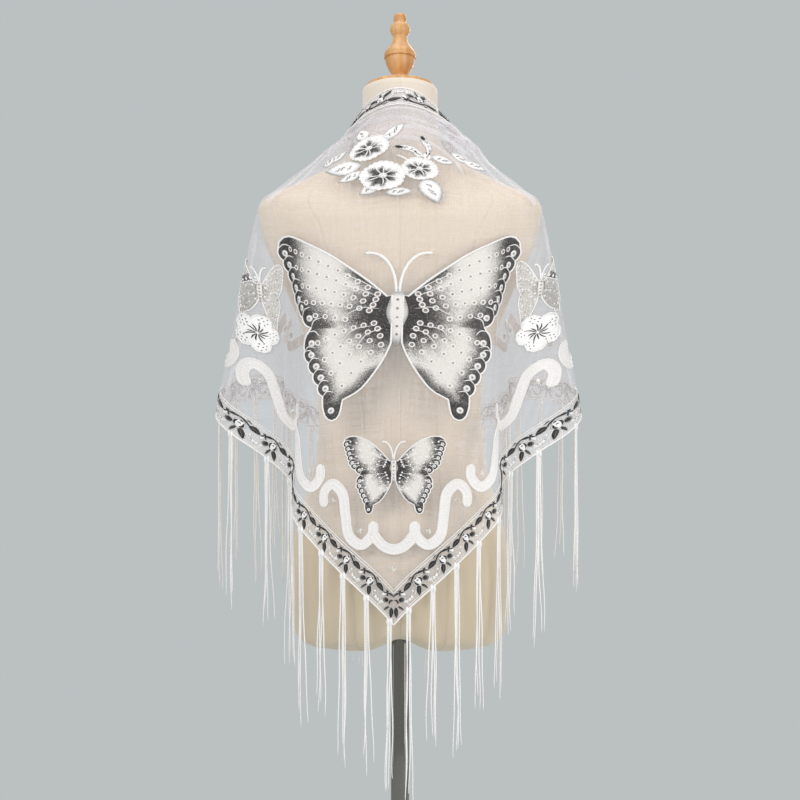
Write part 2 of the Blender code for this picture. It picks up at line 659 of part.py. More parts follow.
def butterfly_outline(detail):
    """The butterfly's whole outline about its middle, as (across, up)."""
    antenna = smooth_path(BUTTERFLY_ANTENNA, 2 * detail)
    inner, outer = band_sides(antenna, ANTENNA_WIDTH)
    hind = np.array(BUTTERFLY_HIND_MARGIN)
    half = np.vstack([
        inner, outer[::-1], BUTTERFLY_SHOULDER[:1],
        smooth_path(BUTTERFLY_LEADING_EDGE, 3 * detail)[:-1],
        scallops(*BUTTERFLY_FORE_MARGIN, 5, detail),
        scallops(hind[0], hind[1], 2, detail)[:-1], scallops(hind[1], hind[2], 4, detail)[:-1],
        smooth_path(BUTTERFLY_TAIL, 2 * detail)[:-1],
        smooth_path(BUTTERFLY_INNER_EDGE, detail + 2),
        BUTTERFLY_BODY_END,
    ])
    mirrored = half[::-1] * (-1, 1)
    return np.vstack([half, mirrored])


def flower_outline():
    points = []
    steps = FLOWER_PETALS * PETAL_STEPS
    for step in range(steps):
        angle = 2 * math.pi * step / steps
        bulge = abs(math.sin(FLOWER_PETALS * angle / 2)) ** LOBE_ROUNDNESS
        lobe = 1 - PETAL_DEPTH * (1 - bulge)
        points.append((FLOWER_RADIUS * lobe * math.sin(angle), FLOWER_RADIUS * lobe * math.cos(angle)))
    return np.array(points)


def spray_outline(centre, leaves):
    """The farthest reach of any ellipse in each direction from the spray's middle."""
    points = []
    for step in range(SPRAY_STEPS):
        angle = 2 * math.pi * step / SPRAY_STEPS
        ray = np.array([math.cos(angle), math.sin(angle)])
        reach = STEM_REACH
        for s, t, half_length, half_width, turn in leaves:
            spin = math.radians(turn)
            axes = np.array([[math.cos(spin), -math.sin(spin)], [math.sin(spin), math.cos(spin)]])
            size = np.array([half_length, half_width])
            offset = axes @ (np.array(centre) - (s, t)) / size
            step_on = axes @ ray / size
            a = step_on @ step_on
            b = offset @ step_on
            inside = b * b - a * (offset @ offset - 1)
            if inside > 0:
                reach = max(reach, (-b + math.sqrt(inside)) / a)
        points.append(np.array(centre) + ray * reach)
    return np.array(points)


def braid_outline(path, count, round_ends=True):
    """The outline of a flat braid along a path of flat points, with round or square ends."""
    path = smooth_path(path, count)
    left, right = band_sides(path, SCROLL_WIDTH)
    if round_ends:
        run = np.append(0, np.cumsum(np.linalg.norm(np.diff(path, axis=0), axis=1)))
        inset = np.clip(np.minimum(run, run[-1] - run) / (SCROLL_WIDTH / 2), SCROLL_BLUNT_END, 1)
        share = np.sqrt(1 - (1 - inset) ** 2)[:, None]
        left = path + (left - path) * share
        right = path + (right - path) * share
    return np.vstack([left, right[::-1]])


def build_scrolls():
    lay_applique("scroll_centre", braid_outline(CENTRE_ARC, 7, round_ends=False), "braid", BRAID)
    shape = np.array(SCROLL) * (1, -1)
    for side in ("left", "right"):
        for index in range(SCROLLS_PER_SIDE):
            path = shape + SCROLL_FOOT + index * np.array(SCROLL_PITCH)
            outline = braid_outline(path * (side_sign(side), 1), SCROLL_STATIONS)
            lay_applique(f"scroll_{side}_{index + 1}", outline, "braid", BRAID)


def build_appliques():
    for name, (s, t, scale) in BUTTERFLIES.items():
        outline = butterfly_outline(3 if scale == 1 else 2) * (scale, -scale)
        lay_applique(name, outline + (s, t), "dark_satin", DARK_SATIN)
    over_butterfly = 2 * APPLIQUE_GAP + APPLIQUE_WALL
    for name, (s, t) in FLOWERS.items():
        lay_applique(name, flower_outline() + (s, t), "braid", BRAID, over_butterfly)
    for name, (centre, leaves) in SPRAYS.items():
        lay_applique(name, spray_outline(centre, leaves), "dark_satin", DARK_SATIN)


def turned_left(loop, points):
    """A loop of point numbers, reversed if need be so that it runs anticlockwise."""
    x, y = np.array([points[number][:2] for number in loop]).T
    area = np.sum(x * np.roll(y, -1) - y * np.roll(x, -1))
    return list(loop) if area > 0 else list(loop)[::-1]


def lay_applique(name, outline, finish_name, finish, gap=APPLIQUE_GAP):
    """Cut a flat outline out of the panels' facets, moved out by its gap, and give it its wall."""
    triangles = FACETS.near(np.min(outline, axis=0), np.max(outline, axis=0))
    used = np.unique(triangles)
    number = {int(vert): k for k, vert in enumerate(used)}
    flat = [Vector(FACETS.flat[vert]) for vert in used] + [Vector(point) for point in outline]
    loop = [len(used) + k for k in range(len(outline))]
    faces = [loop] + [[number[int(vert)] for vert in triangle] for triangle in triangles]
    faces = [turned_left(face, flat) for face in faces]
    points, _, cut, _, _, sources = delaunay_2d_cdt(flat, [], faces, 0, 1e-6)
    lift = CLOTH_WALL / 2 + gap + APPLIQUE_WALL / 2
    bm = bmesh.new()
    verts = {}
    for face, owners in zip(cut, sources):
        panels = [owner for owner in owners if owner > 0]
        if 0 not in owners or not panels:
            continue
        triangle = triangles[panels[0] - 1]
        for vert in face:
            if vert not in verts:
                verts[vert] = bm.verts.new(FACETS.lay(triangle, points[vert], lift))
        bm.faces.new([verts[vert] for vert in face])
    bmesh.ops.remove_doubles(bm, verts=bm.verts[:], dist=0.0001)
    bmesh.ops.recalc_face_normals(bm, faces=bm.faces[:])
    item = add_object(name, mesh_from(bm, name), finish_name, finish)
    return thicken(item, APPLIQUE_WALL)


def ellipse_ring(row, scale=1.0):
    """One ring of the form's surface, wider at the back or the front as its row says."""
    z, half_width, back, front, forward, tip = row
    ring = []
    for side in range(TORSO_SIDES):
        angle = 2 * math.pi * side / TORSO_SIDES
        depth = back if math.cos(angle) > 0 else front
        x = half_width * math.sin(angle) * scale
        y = -depth * math.cos(angle) * scale
        arch = ARCH_HEIGHT * math.exp(-(x / ARCH_HALF_WIDTH) ** 2)
        fade = max(0.0, 1 - (z - TORSO[0][0]) / ARCH_FADE)
        ring.append(Vector((x, y + forward, z - tip * y + arch * fade)))
    return ring


def round_ring(radius, z):
    return [Vector((radius * math.sin(2 * math.pi * side / TORSO_SIDES),
                    -radius * math.cos(2 * math.pi * side / TORSO_SIDES), z))
            for side in range(TORSO_SIDES)]


def build_torso():
    """The form's body and neck in one skin, with a socket for the pole in its underside."""
    bottom = TORSO[0]
    lift = ARCH_HEIGHT + bottom[0]
    rings = [round_ring(POLE_RADIUS + SEAM_GAP, lift + SOCKET_DEPTH),
             round_ring(POLE_RADIUS + SEAM_GAP, lift - SOCKET_LIP)]
    for scale, drop in UNDERSIDE:
        rings.append([point - Vector((0, 0, drop)) for point in ellipse_ring(bottom, scale)])
    rings += [ellipse_ring(row) for row in TORSO]
    bm = bmesh.new()
    loops = [[bm.verts.new(point) for point in ring] for ring in rings]
    for lower, upper in zip(loops, loops[1:]):
        for side in range(TORSO_SIDES):
            after = (side + 1) % TORSO_SIDES
            bm.faces.new((lower[side], lower[after], upper[after], upper[side]))
    bm.faces.new(reversed(loops[0]))
    bm.faces.new(loops[-1])
    bmesh.ops.recalc_face_normals(bm, faces=bm.faces[:])
    add_object("form_torso", mesh_from(bm, "torso"), "linen", LINEN)


def turned(name, profile, finish_name, finish):
    """A turned piece: its profile swept round Z."""
    bm = bmesh.new()
    verts = [bm.verts.new((radius, 0, height)) for radius, height in profile]
    for upper, lower in zip(verts, verts[1:]):
        bm.edges.new((upper, lower))
    item = add_object(name, mesh_from(bm, name), finish_name, finish)
    screw = item.modifiers.new("turn", "SCREW")
    screw.axis = "Z"
    screw.steps = TURNED_STEPS
    screw.render_steps = TURNED_STEPS
    screw.use_merge_vertices = True
    screw.merge_threshold = 0.00005
    return item


def cylinder(name, radius, depth, sides, finish_name, finish):
    bm = bmesh.new()
    bmesh.ops.create_cone(bm, cap_ends=True, segments=sides, radius1=radius, radius2=radius,
                          depth=depth)
    return add_object(name, mesh_from(bm, name), finish_name, finish)


def build_stand():
    turned("stand_base", BASE_PROFILE, "steel", STEEL)
    foot = BASE_PROFILE[0][1] + SEAM_GAP
    top = TORSO[0][0] + ARCH_HEIGHT + SOCKET_DEPTH - SEAM_GAP
    pole = cylinder("stand_pole", POLE_RADIUS, top - foot, POLE_SIDES, "steel", STEEL)
    pole.location = (0, 0, (top + foot) / 2)


def build_head():
    """The wooden cap on the neck and the finial on the cap, square to the tipped neck."""
    z, _, _, _, forward, tip = TORSO[-1]
    tilt = Matrix.Rotation(-math.atan(tip), 4, "X")
    up = tilt @ Vector((0, 0, 1))
    seat = Vector((0, forward, z))
    cap = cylinder("neck_cap", CAP_RADIUS, CAP_THICKNESS, CAP_SIDES, "wood", WOOD)
    bevel = cap.modifiers.new("edge", "BEVEL")
    bevel.width = CAP_EDGE
    bevel.segments = 1
    cap.matrix_world = Matrix.Translation(seat + up * (SEAM_GAP + CAP_THICKNESS / 2)) @ tilt
    finial = turned("finial", FINIAL_PROFILE, "wood", WOOD)
    finial.matrix_world = Matrix.Translation(seat + up * (2 * SEAM_GAP + CAP_THICKNESS)) @ tilt


COLLECTION = clear_scene()
DRAPE = Drape()
FACETS = Facets()
build_stand()
build_torso()
build_head()
build_scarf()
build_hem_trims()
build_neck_trim()
build_fringe()
build_appliques()
build_scrolls()
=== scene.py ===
# %% [markdown]
# # A sheer triangle scarf on a dress form
# The real scarf is half a square of organza, edged with a woven band of black and white flowers.
# Butterflies, flowers and a scroll braid are sewn on it, and a long fringe is knotted into its two
# short edges. It hangs from the neck of a limbless dress form, so its shape is the shape of its cut.
# Everything here is drawn on the flat cloth and then carried to the worn cloth by one set of
# functions. That is how the real one is made, and it keeps each piece seated on the one below it.

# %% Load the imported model
import math

import bmesh
import bpy
import numpy as np
from mathutils import Matrix, Vector
from mathutils.bvhtree import BVHTree
from mathutils.geometry import delaunay_2d_cdt


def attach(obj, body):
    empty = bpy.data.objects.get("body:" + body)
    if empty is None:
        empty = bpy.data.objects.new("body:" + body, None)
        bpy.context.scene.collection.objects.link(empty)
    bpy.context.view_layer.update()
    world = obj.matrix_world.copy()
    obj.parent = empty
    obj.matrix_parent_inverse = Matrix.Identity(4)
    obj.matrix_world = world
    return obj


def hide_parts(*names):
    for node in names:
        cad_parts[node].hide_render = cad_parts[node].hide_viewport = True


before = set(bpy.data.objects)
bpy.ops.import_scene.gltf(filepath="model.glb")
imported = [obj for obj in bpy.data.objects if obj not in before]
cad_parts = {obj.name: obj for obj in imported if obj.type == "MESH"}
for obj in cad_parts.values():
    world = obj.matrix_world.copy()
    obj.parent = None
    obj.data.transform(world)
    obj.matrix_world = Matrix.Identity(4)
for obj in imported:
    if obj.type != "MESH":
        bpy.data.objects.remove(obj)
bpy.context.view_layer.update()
bpy.ops.object.select_all(action="DESELECT")

# %% [markdown]
# ## Camera, floor and light
# The photograph looks level at the back of the form from about three metres, with a long lens. Large
# soft lights on both sides and a grey surround keep the shadows faint, which lets the sheer cloth
# show as a pale veil and not as a shadow.

# %% Camera
CAMERA_DISTANCE = 3.0
CAMERA_HEIGHT = 1.123
VIEW_HEIGHT = 1.12
SENSOR_MM = 36.0

camera_data = bpy.data.cameras.new("camera")
camera_data.sensor_width = SENSOR_MM
camera_data.lens = SENSOR_MM * CAMERA_DISTANCE / VIEW_HEIGHT
camera = bpy.data.objects.new("camera", camera_data)
camera.location = (0.0, -CAMERA_DISTANCE, CAMERA_HEIGHT)
camera.rotation_euler = (math.radians(90), 0, 0)
bpy.context.scene.collection.objects.link(camera)
bpy.context.scene.camera = camera
bpy.context.scene.view_settings.view_transform = "Standard"
bpy.context.scene.cycles.transparent_max_bounces = 32
print("lens", round(camera_data.lens, 1), "mm")

# %% Colours and nodes
def linear(code):
    """A hex colour as it is seen, turned to the linear values that a shader works in."""
    values = [int(code[i:i + 2], 16) / 255 for i in (1, 3, 5)]
    return [v / 12.92 if v <= 0.04045 else ((v + 0.055) / 1.055) ** 2.4 for v in values] + [1.0]


def add_node(tree, kind, values=None, links=None, **settings):
    """One node, with its settings, its values and its links, each link as (node, output)."""
    result = tree.nodes.new(kind)
    for name, value in settings.items():
        setattr(result, name, value)
    for name, value in (values or {}).items():
        result.inputs[name].default_value = value
    for name, (source, output) in (links or {}).items():
        tree.links.new(source.outputs[output], result.inputs[name])
    return result


def new_finish(name, **values):
    """A material with a principled shader, and that shader's own values."""
    result = bpy.data.materials.new(name)
    result.use_nodes = True
    shader = result.node_tree.nodes["Principled BSDF"]
    for key, value in values.items():
        shader.inputs[key.replace("_", " ")].default_value = value
    return result, result.node_tree, shader


# %% Floor and surround
bpy.ops.mesh.primitive_circle_add(vertices=96, radius=1.9, fill_type="NGON", location=(0, 0, -0.0005))
floor = bpy.context.active_object
floor.name = "floor"
paper, _, _ = new_finish("matt_paper", Roughness=0.9, Base_Color=linear("#CDD1D1"))
floor.data.materials.append(paper)

world = bpy.data.worlds.new("studio")
bpy.context.scene.world = world
world.use_nodes = True
surround = world.node_tree.nodes["Background"]
surround.inputs["Color"].default_value = linear("#BBC0C1")
surround.inputs["Strength"].default_value = 1.0

# %% Lights
LIGHTS = {
    # place, width and height in metres, watts
    "key": ((-2.2, -3.2, 2.9), 2.2, 2.2, 66.0),
    "fill": ((2.6, -2.6, 1.9), 2.4, 2.4, 46.0),
    "front": ((0.6, 3.4, 2.4), 2.4, 2.4, 54.0),
    "top": ((0.0, 0.2, 3.6), 2.0, 2.0, 26.0),
    "strip_right": ((1.90, -0.85, 0.60), 0.30, 1.0, 4.0),
    "strip_left": ((-1.80, 0.10, 0.60), 0.22, 1.0, 0.95),
}
LIGHT_COLOUR = (1.0, 0.965, 0.945)
LIGHT_TARGET = Vector((0, 0, 1.1))
for name, (place, width, height, watts) in LIGHTS.items():
    lamp = bpy.data.lights.new(name, "AREA")
    lamp.shape = "RECTANGLE"
    lamp.size = width
    lamp.size_y = height
    lamp.color = LIGHT_COLOUR
    lamp.energy = watts
    holder = bpy.data.objects.new(name, lamp)
    holder.location = place
    holder.rotation_euler = (LIGHT_TARGET - Vector(place)).to_track_quat("-Z", "Y").to_euler()
    bpy.context.scene.collection.objects.link(holder)
print("lights", len(LIGHTS))

# %% [markdown]
# ## How the cloth falls
# At each azimuth round the neck one straight line of the flat cloth hangs down. The tables give the
# worn cloth's rings from the collar to the hem, its large folds, and the fall lines. They are the
# solids' own tables, so what is made here stays on them.

# %% The cut and the tables
HALF_LENGTH = 0.745
TRIM_WIDTH = 0.035
LEVELS = {
    #                side    back    front   z_back z_side  z_front fold  puff
    "collar_edge":  (0.0555, 0.0550, 0.0610, 1.552, 1.5220, 1.488, 0.00, 0.00),
    "collar_foot":  (0.0660, 0.0760, 0.0700, 1.528, 1.5045, 1.463, 0.00, 0.50),
    "nape":         (0.0880, 0.0880, 0.0800, 1.495, 1.4800, 1.436, 0.00, 1.00),
    "yoke":         (0.1300, 0.0990, 0.0950, 1.442, 1.4490, 1.392, 0.00, 0.10),
    "shoulder":     (0.1750, 0.1060, 0.1140, 1.392, 1.4165, 1.345, 0.00, 0.00),
    "shoulder_end": (0.1950, 0.1085, 0.1260, 1.362, 1.4030, 1.322, 0.02, 0.00),
    "sleeve_head":  (0.2015, 0.1100, 0.1350, 1.335, 1.3830, 1.300, 0.08, 0.00),
    "upper_arm":    (0.2150, 0.1130, 0.1420, 1.270, 1.3200, 1.235, 0.32, 0.00),
    "elbow":        (0.2330, 0.1170, 0.1460, 1.170, 1.2200, 1.140, 0.68, 0.00),
    "side_hem":     (0.2550, 0.1240, 0.1500, 1.060, 1.1000, 1.030, 1.00, 0.00),
    "hip":          (0.2680, 0.1280, 0.1520, 0.900, 0.9500, 0.880, 1.00, 0.00),
    "below":        (0.2780, 0.1285, 0.1530, 0.700, 0.7500, 0.680, 1.00, 0.00),
}
FOLDS = {
    #                      azimuth, half-width, depth
    "behind_right":       (65.0, 6.0, 0.048),
    "behind_left":        (-65.0, 6.2, 0.047),
    "front_right_trough": (113.0, 8.0, 0.046),
    "front_right_ridge":  (128.0, 6.0, -0.016),
    "front_right_inner":  (143.0, 6.5, 0.026),
    "front_left_trough":  (-111.0, 8.5, 0.044),
    "front_left_ridge":   (-127.0, 6.0, -0.018),
    "front_left_inner":   (-142.0, 6.5, 0.027),
}
PUFF_AZIMUTH = 84.0
PUFF_HALF_WIDTH = 30.0
PUFF_DEPTH = 0.013
SWAY = -0.0025
POINT_SWAY = -0.006
FALL_LINES = (
    # azimuth, start, lean
    (0.0, 0.000, 0.0),
    (30.0, 0.030, 3.9),
    (54.0, 0.054, 10.0),
    (62.0, 0.062, 13.0),
    (68.0, 0.068, 17.0),
    (74.0, 0.074, 21.3),
    (80.0, 0.080, 23.4),
    (90.0, 0.091, 25.5),
    (110.0, 0.112, 42.0),
    (130.0, 0.132, 60.0),
    (150.0, 0.152, 77.0),
    (168.0, 0.170, 90.0),
)
FRONT_EDGE = 168.0

# %% [markdown]
# Small creases are listed, each a soft ridge or trough along a line of the flat cloth. On the
# real scarf the cloth gathers below the collar, pulls towards the shoulders, and hangs in soft
# lengthwise waves at the sides.

# %% Creases
CREASES = (
    # from s and t, to s and t, half-width, height
    (-0.075, 0.044, -0.010, 0.046, 0.0030, 0.0016),
    (-0.015, 0.046, 0.070, 0.042, 0.0034, 0.0018),
    (-0.085, 0.056, 0.000, 0.060, 0.0046, -0.0014),
    (0.000, 0.060, 0.090, 0.052, 0.0046, -0.0012),
    (-0.100, 0.066, -0.020, 0.078, 0.0050, 0.0020),
    (0.010, 0.076, 0.105, 0.064, 0.0052, 0.0019),
    (-0.050, 0.090, 0.040, 0.094, 0.0060, 0.0008),
    (0.030, 0.052, 0.085, 0.100, 0.0040, 0.0016),
    (0.045, 0.048, 0.100, 0.088, 0.0036, -0.0013),
    (0.055, 0.044, 0.118, 0.078, 0.0038, 0.0022),
    (0.066, 0.042, 0.130, 0.066, 0.0040, -0.0012),
    (0.074, 0.040, 0.140, 0.058, 0.0042, 0.0020),
    (-0.034, 0.054, -0.090, 0.104, 0.0042, 0.0016),
    (-0.046, 0.048, -0.106, 0.090, 0.0038, -0.0014),
    (-0.058, 0.044, -0.120, 0.080, 0.0038, 0.0020),
    (-0.068, 0.041, -0.132, 0.067, 0.0040, -0.0013),
    (-0.076, 0.040, -0.142, 0.057, 0.0042, 0.0022),
    (0.060, 0.100, 0.118, 0.166, 0.0080, 0.0012),
    (-0.062, 0.104, -0.120, 0.160, 0.0080, 0.0013),
    (0.104, 0.190, 0.142, 0.330, 0.0060, 0.0018),
    (0.122, 0.170, 0.176, 0.330, 0.0070, -0.0016),
    (0.138, 0.160, 0.212, 0.330, 0.0060, 0.0020),
    (0.160, 0.150, 0.262, 0.330, 0.0080, -0.0018),
    (0.170, 0.250, 0.230, 0.420, 0.0070, 0.0022),
    (-0.106, 0.195, -0.140, 0.325, 0.0060, 0.0018),
    (-0.120, 0.172, -0.172, 0.332, 0.0070, -0.0015),
    (-0.140, 0.160, -0.216, 0.336, 0.0060, 0.0019),
    (-0.162, 0.152, -0.258, 0.326, 0.0080, -0.0017),
    (-0.172, 0.252, -0.236, 0.418, 0.0070, 0.0021),
    (0.020, 0.600, 0.035, 0.690, 0.0090, 0.0016),
    (-0.030, 0.590, -0.018, 0.700, 0.0100, -0.0014),
    (0.060, 0.540, 0.085, 0.650, 0.0100, -0.0015),
    (-0.072, 0.540, -0.092, 0.640, 0.0100, 0.0016),
    (0.200, 0.090, 0.330, 0.250, 0.0090, 0.0018),
    (-0.200, 0.094, -0.334, 0.246, 0.0090, 0.0018),
    (0.240, 0.070, 0.420, 0.190, 0.0100, -0.0016),
    (-0.236, 0.072, -0.424, 0.186, 0.0100, -0.0017),
    (0.300, 0.060, 0.560, 0.100, 0.0100, 0.0016),
    (-0.296, 0.062, -0.556, 0.104, 0.0100, 0.0016),
)
CREASE_FADE = 0.02


def crease_height(s, t):
    """How far the creases stand out of the smooth cloth at flat points."""
    total = np.zeros(np.shape(s))
    for s0, t0, s1, t1, half_width, height in CREASES:
        length = math.hypot(s1 - s0, t1 - t0)
        along = ((s - s0) * (s1 - s0) + (t - t0) * (t1 - t0)) / length
        across = ((s - s0) * (t1 - t0) - (t - t0) * (s1 - s0)) / length
        ends = np.clip(np.minimum(along, length - along) / CREASE_FADE + 1, 0, 1)
        total += height * np.exp(-0.5 * (across / half_width) ** 2) * ends ** 2 * (3 - 2 * ends)
    return total


# %% Reading the tables
def smooth_rows(stations, rows, at):
    """Monotone cubic values of every column of `rows` at the places `at`."""
    stations = np.asarray(stations, float)
    rows = np.asarray(rows, float)
    at = np.asarray(at, float)
    step = np.diff(stations)[:, None]
    slope = np.diff(rows, axis=0) / step
    before = slope[:-1]
    after = slope[1:]
    same_way = before * after > 0
    tangent = np.empty_like(rows)
    tangent[0] = slope[0]
    tangent[-1] = slope[-1]
    tangent[1:-1] = np.where(same_way, 2 * before * after / np.where(same_way, before + after, 1), 0)
    index = np.clip(np.searchsorted(stations, at, side="right") - 1, 0, len(step) - 1)
    width = step[index]
    f = (at - stations[index])[:, None] / width
    return (rows[index] * (1 + 2 * f) * (1 - f) ** 2
            + tangent[index] * width * f * (1 - f) ** 2
            + rows[index + 1] * f * f * (3 - 2 * f)
            + tangent[index + 1] * width * f * f * (f - 1))


def fall_line(azimuth):
    """Start on the long edge and lean (radians) of the fall lines at azimuths of 0 or more."""
    rows = [row[1:] for row in FALL_LINES]
    values = smooth_rows([row[0] for row in FALL_LINES], rows, np.ravel(azimuth))
    shape = np.shape(azimuth)
    return values[:, 0].reshape(shape), np.radians(values[:, 1]).reshape(shape)


HALVINGS = 26


def fall_coordinates(s, t):
    """Azimuth and distance down the fall line of flat points, found by halving the angle."""
    low = np.zeros(s.shape)
    high = np.full(s.shape, FRONT_EDGE)
    for _ in range(HALVINGS):
        middle = (low + high) / 2
        start, lean = fall_line(middle)
        beyond = (np.abs(s) - start) * np.cos(lean) - t * np.sin(lean) > 0
        low = np.where(beyond, middle, low)
        high = np.where(beyond, high, middle)
    start, _ = fall_line(middle)
    return np.sign(s) * middle, np.hypot(np.abs(s) - start, t)


def run_to_hem(azimuth):
    """Distance down the fall line from the long edge to the short edge."""
    start, lean = fall_line(np.abs(azimuth))
    return (HALF_LENGTH - start) / (np.sin(lean) + np.cos(lean))


# %% [markdown]
# ## The dress form
# The form is a firm padded body covered in natural linen. Its cover is sewn from panels, so fine
# seams run down the middle, over the shoulder blades and round the armholes. The body is lofted
# through the solids' own rings with many more steps, and the upright seams are drawn in the cover's own
# coordinates, because a groove of 1.5 mm is finer than its faces.

# %% The body's rings
TORSO = (
    # z, half-width, back, front, forward, tip
    (0.782, 0.128, 0.088, 0.078, 0.000, 0.00),
    (0.792, 0.143, 0.106, 0.092, 0.000, 0.00),
    (0.815, 0.149, 0.115, 0.098, 0.000, 0.00),
    (0.871, 0.152, 0.120, 0.103, 0.000, 0.00),
    (0.927, 0.148, 0.114, 0.105, 0.000, 0.00),
    (0.983, 0.134, 0.098, 0.103, 0.000, 0.00),
    (1.039, 0.118, 0.082, 0.100, 0.000, 0.00),
    (1.095, 0.1135, 0.076, 0.100, 0.000, 0.00),
    (1.155, 0.117, 0.081, 0.105, 0.000, 0.00),
    (1.200, 0.129, 0.088, 0.114, 0.000, 0.00),
    (1.236, 0.142, 0.094, 0.124, 0.000, 0.00),
    (1.277, 0.160, 0.100, 0.130, 0.000, 0.00),
    (1.310, 0.175, 0.103, 0.126, 0.000, 0.00),
    (1.343, 0.1890, 0.106, 0.112, 0.000, 0.00),
    (1.370, 0.1960, 0.106, 0.098, 0.000, 0.00),
    (1.388, 0.1982, 0.100, 0.087, 0.000, 0.00),
    (1.400, 0.1926, 0.094, 0.079, 0.000, 0.00),
    (1.409, 0.1785, 0.088, 0.072, 0.000, 0.00),
    (1.420, 0.1560, 0.082, 0.066, 0.000, 0.00),
    (1.435, 0.1240, 0.076, 0.060, 0.000, 0.00),
    (1.450, 0.0930, 0.070, 0.056, 0.001, 0.03),
    (1.472, 0.0640, 0.061, 0.052, 0.003, 0.09),
    (1.496, 0.0540, 0.055, 0.051, 0.004, 0.14),
    (1.520, 0.0525, 0.053, 0.052, 0.006, 0.19),
    (1.556, 0.0525, 0.0525, 0.0525, 0.008, 0.23),
)
ARCH_HEIGHT = 0.018
ARCH_HALF_WIDTH = 0.028
ARCH_FADE = 0.045
BODY_SIDES = 112
BODY_RINGS = 150
UNDERSIDE = ((0.14, 0.0045), (0.35, 0.0055), (0.65, 0.0050), (0.88, 0.0030), (0.97, 0.0012))
# Azimuths of the back and front panel seams at heights from the hem to the neck
SEAM_HEIGHTS = (0.78, 0.90, 1.09, 1.25, 1.36, 1.43, 1.56)
SEAM_BACK = (24.0, 24.0, 26.0, 30.0, 34.0, 46.0, 60.0)
SEAM_FRONT = (152.0, 152.0, 150.0, 147.0, 145.0, 134.0, 120.0)


NECK_TOP_SHARE = 0.5


def body_ring(row, scale=1.0):
    """One ring of the body, as an array of points by azimuth from the middle of the back."""
    z, half_width, back, front, forward, tip = row
    angle = np.arange(BODY_SIDES) * 2 * math.pi / BODY_SIDES
    depth = np.where(np.cos(angle) > 0, back, front)
    x = half_width * np.sin(angle) * scale
    y = -depth * np.cos(angle) * scale
    arch = ARCH_HEIGHT * np.exp(-(x / ARCH_HALF_WIDTH) ** 2) * max(0.0, 1 - (z - TORSO[0][0]) / ARCH_FADE)
    return np.stack([x, y + forward, z - tip * y + arch], axis=1)


def panel_number(azimuth, height):
    """0 at the centre back, 1 at the back seam, 2 at the side, 3 at the front seam, 4 at the front."""
    back = np.interp(height, SEAM_HEIGHTS, SEAM_BACK)
    front = np.interp(height, SEAM_HEIGHTS, SEAM_FRONT)
    size = np.where(azimuth > 180, 360 - azimuth, azimuth)
    number = np.where(size < back, size / back, np.where(
        size < 90, 1 + (size - back) / (90 - back), np.where(
            size < front, 2 + (size - 90) / (front - 90), 3 + (size - front) / (180 - front))))
    return np.where(azimuth > 180, 8 - number, number)


# %% Loft the body
def mesh_object(name, points, faces):
    """An object from points and faces, its place in its mesh."""
    mesh = bpy.data.meshes.new(name)
    mesh.from_pydata([tuple(map(float, point)) for point in points], [], faces)
    mesh.validate()
    result = bpy.data.objects.new(name, mesh)
    bpy.context.scene.collection.objects.link(result)
    mesh.shade_smooth()
    return result


def ring_faces(rings, sides, closed=False):
    """Faces between rings of points, with an end face on each end ring unless the rings close."""
    faces = []
    for ring in range(rings if closed else rings - 1):
        near = ring * sides
        far = (ring + 1) % rings * sides
        for k in range(sides):
            after = (k + 1) % sides
            faces.append((near + k, near + after, far + after, far + k))
    if not closed:
        faces.append(tuple(range(sides))[::-1])
        faces.append(tuple(range((rings - 1) * sides, rings * sides)))
    return faces


def build_body():
    rows = smooth_rows(range(len(TORSO)), TORSO, np.linspace(0, len(TORSO) - 1, BODY_RINGS))
    under = []
    for scale, drop in UNDERSIDE:
        under.append(body_ring(TORSO[0], scale) - (0, 0, drop))
    rings = under + [body_ring(row) for row in rows]
    rings.append(body_ring(TORSO[-1], NECK_TOP_SHARE))
    item = mesh_object("form_cover", np.concatenate(rings), ring_faces(len(rings), BODY_SIDES))
    cover = item.data.uv_layers.new(name="cover")
    for polygon in item.data.polygons:
        sides = [item.data.loops[k].vertex_index % BODY_SIDES for k in polygon.loop_indices]
        wraps = max(sides) - min(sides) > BODY_SIDES / 2
        for k, side in zip(polygon.loop_indices, sides):
            height = item.data.vertices[item.data.loops[k].vertex_index].co.z
            azimuth = side * 360 / BODY_SIDES
            number = float(panel_number(azimuth, height))
            if wraps and side < BODY_SIDES / 2:
                number += 8
            cover.data[k].uv = (number, height)
    return item


BODY = build_body()
BODY_TREE = BVHTree.FromObject(BODY, bpy.context.evaluated_depsgraph_get())
print("form cover", len(BODY.data.polygons), "faces")

# %% [markdown]
# ### Linen
# Natural linen is a plain weave of uneven yarns, so it shows faint lengthwise and crosswise streaks.
# The yarns are about 0.5 mm apart, too fine to show at this distance, and are drawn at about 1.5 mm.
# The seams are a soft dark line with a slight roll to each side.

# %% Linen finish
LINEN_YARN = 0.0015
SEAM_SHARE = 0.012
linen, tree, shader = new_finish("natural_linen", Roughness=0.85, Sheen_Weight=0.25, Sheen_Roughness=0.5)
place = add_node(tree, "ShaderNodeTexCoord")
weft_map = add_node(tree, "ShaderNodeMapping", {"Scale": (60, 60, 1 / LINEN_YARN)},
                    {"Vector": (place, "Object")})
warp_map = add_node(tree, "ShaderNodeMapping", {"Scale": (1 / LINEN_YARN, 1 / LINEN_YARN, 40)},
                    {"Vector": (place, "Object")})
weft = add_node(tree, "ShaderNodeTexNoise", {"Scale": 0.6, "Detail": 2.0}, {"Vector": (weft_map, 0)})
warp = add_node(tree, "ShaderNodeTexNoise", {"Scale": 0.6, "Detail": 2.0}, {"Vector": (warp_map, 0)})
weave = add_node(tree, "ShaderNodeMath", links={0: (weft, 0), 1: (warp, 0)}, operation="ADD")
blotch = add_node(tree, "ShaderNodeTexNoise", {"Scale": 9.0, "Detail": 3.0}, {"Vector": (place, "Object")})
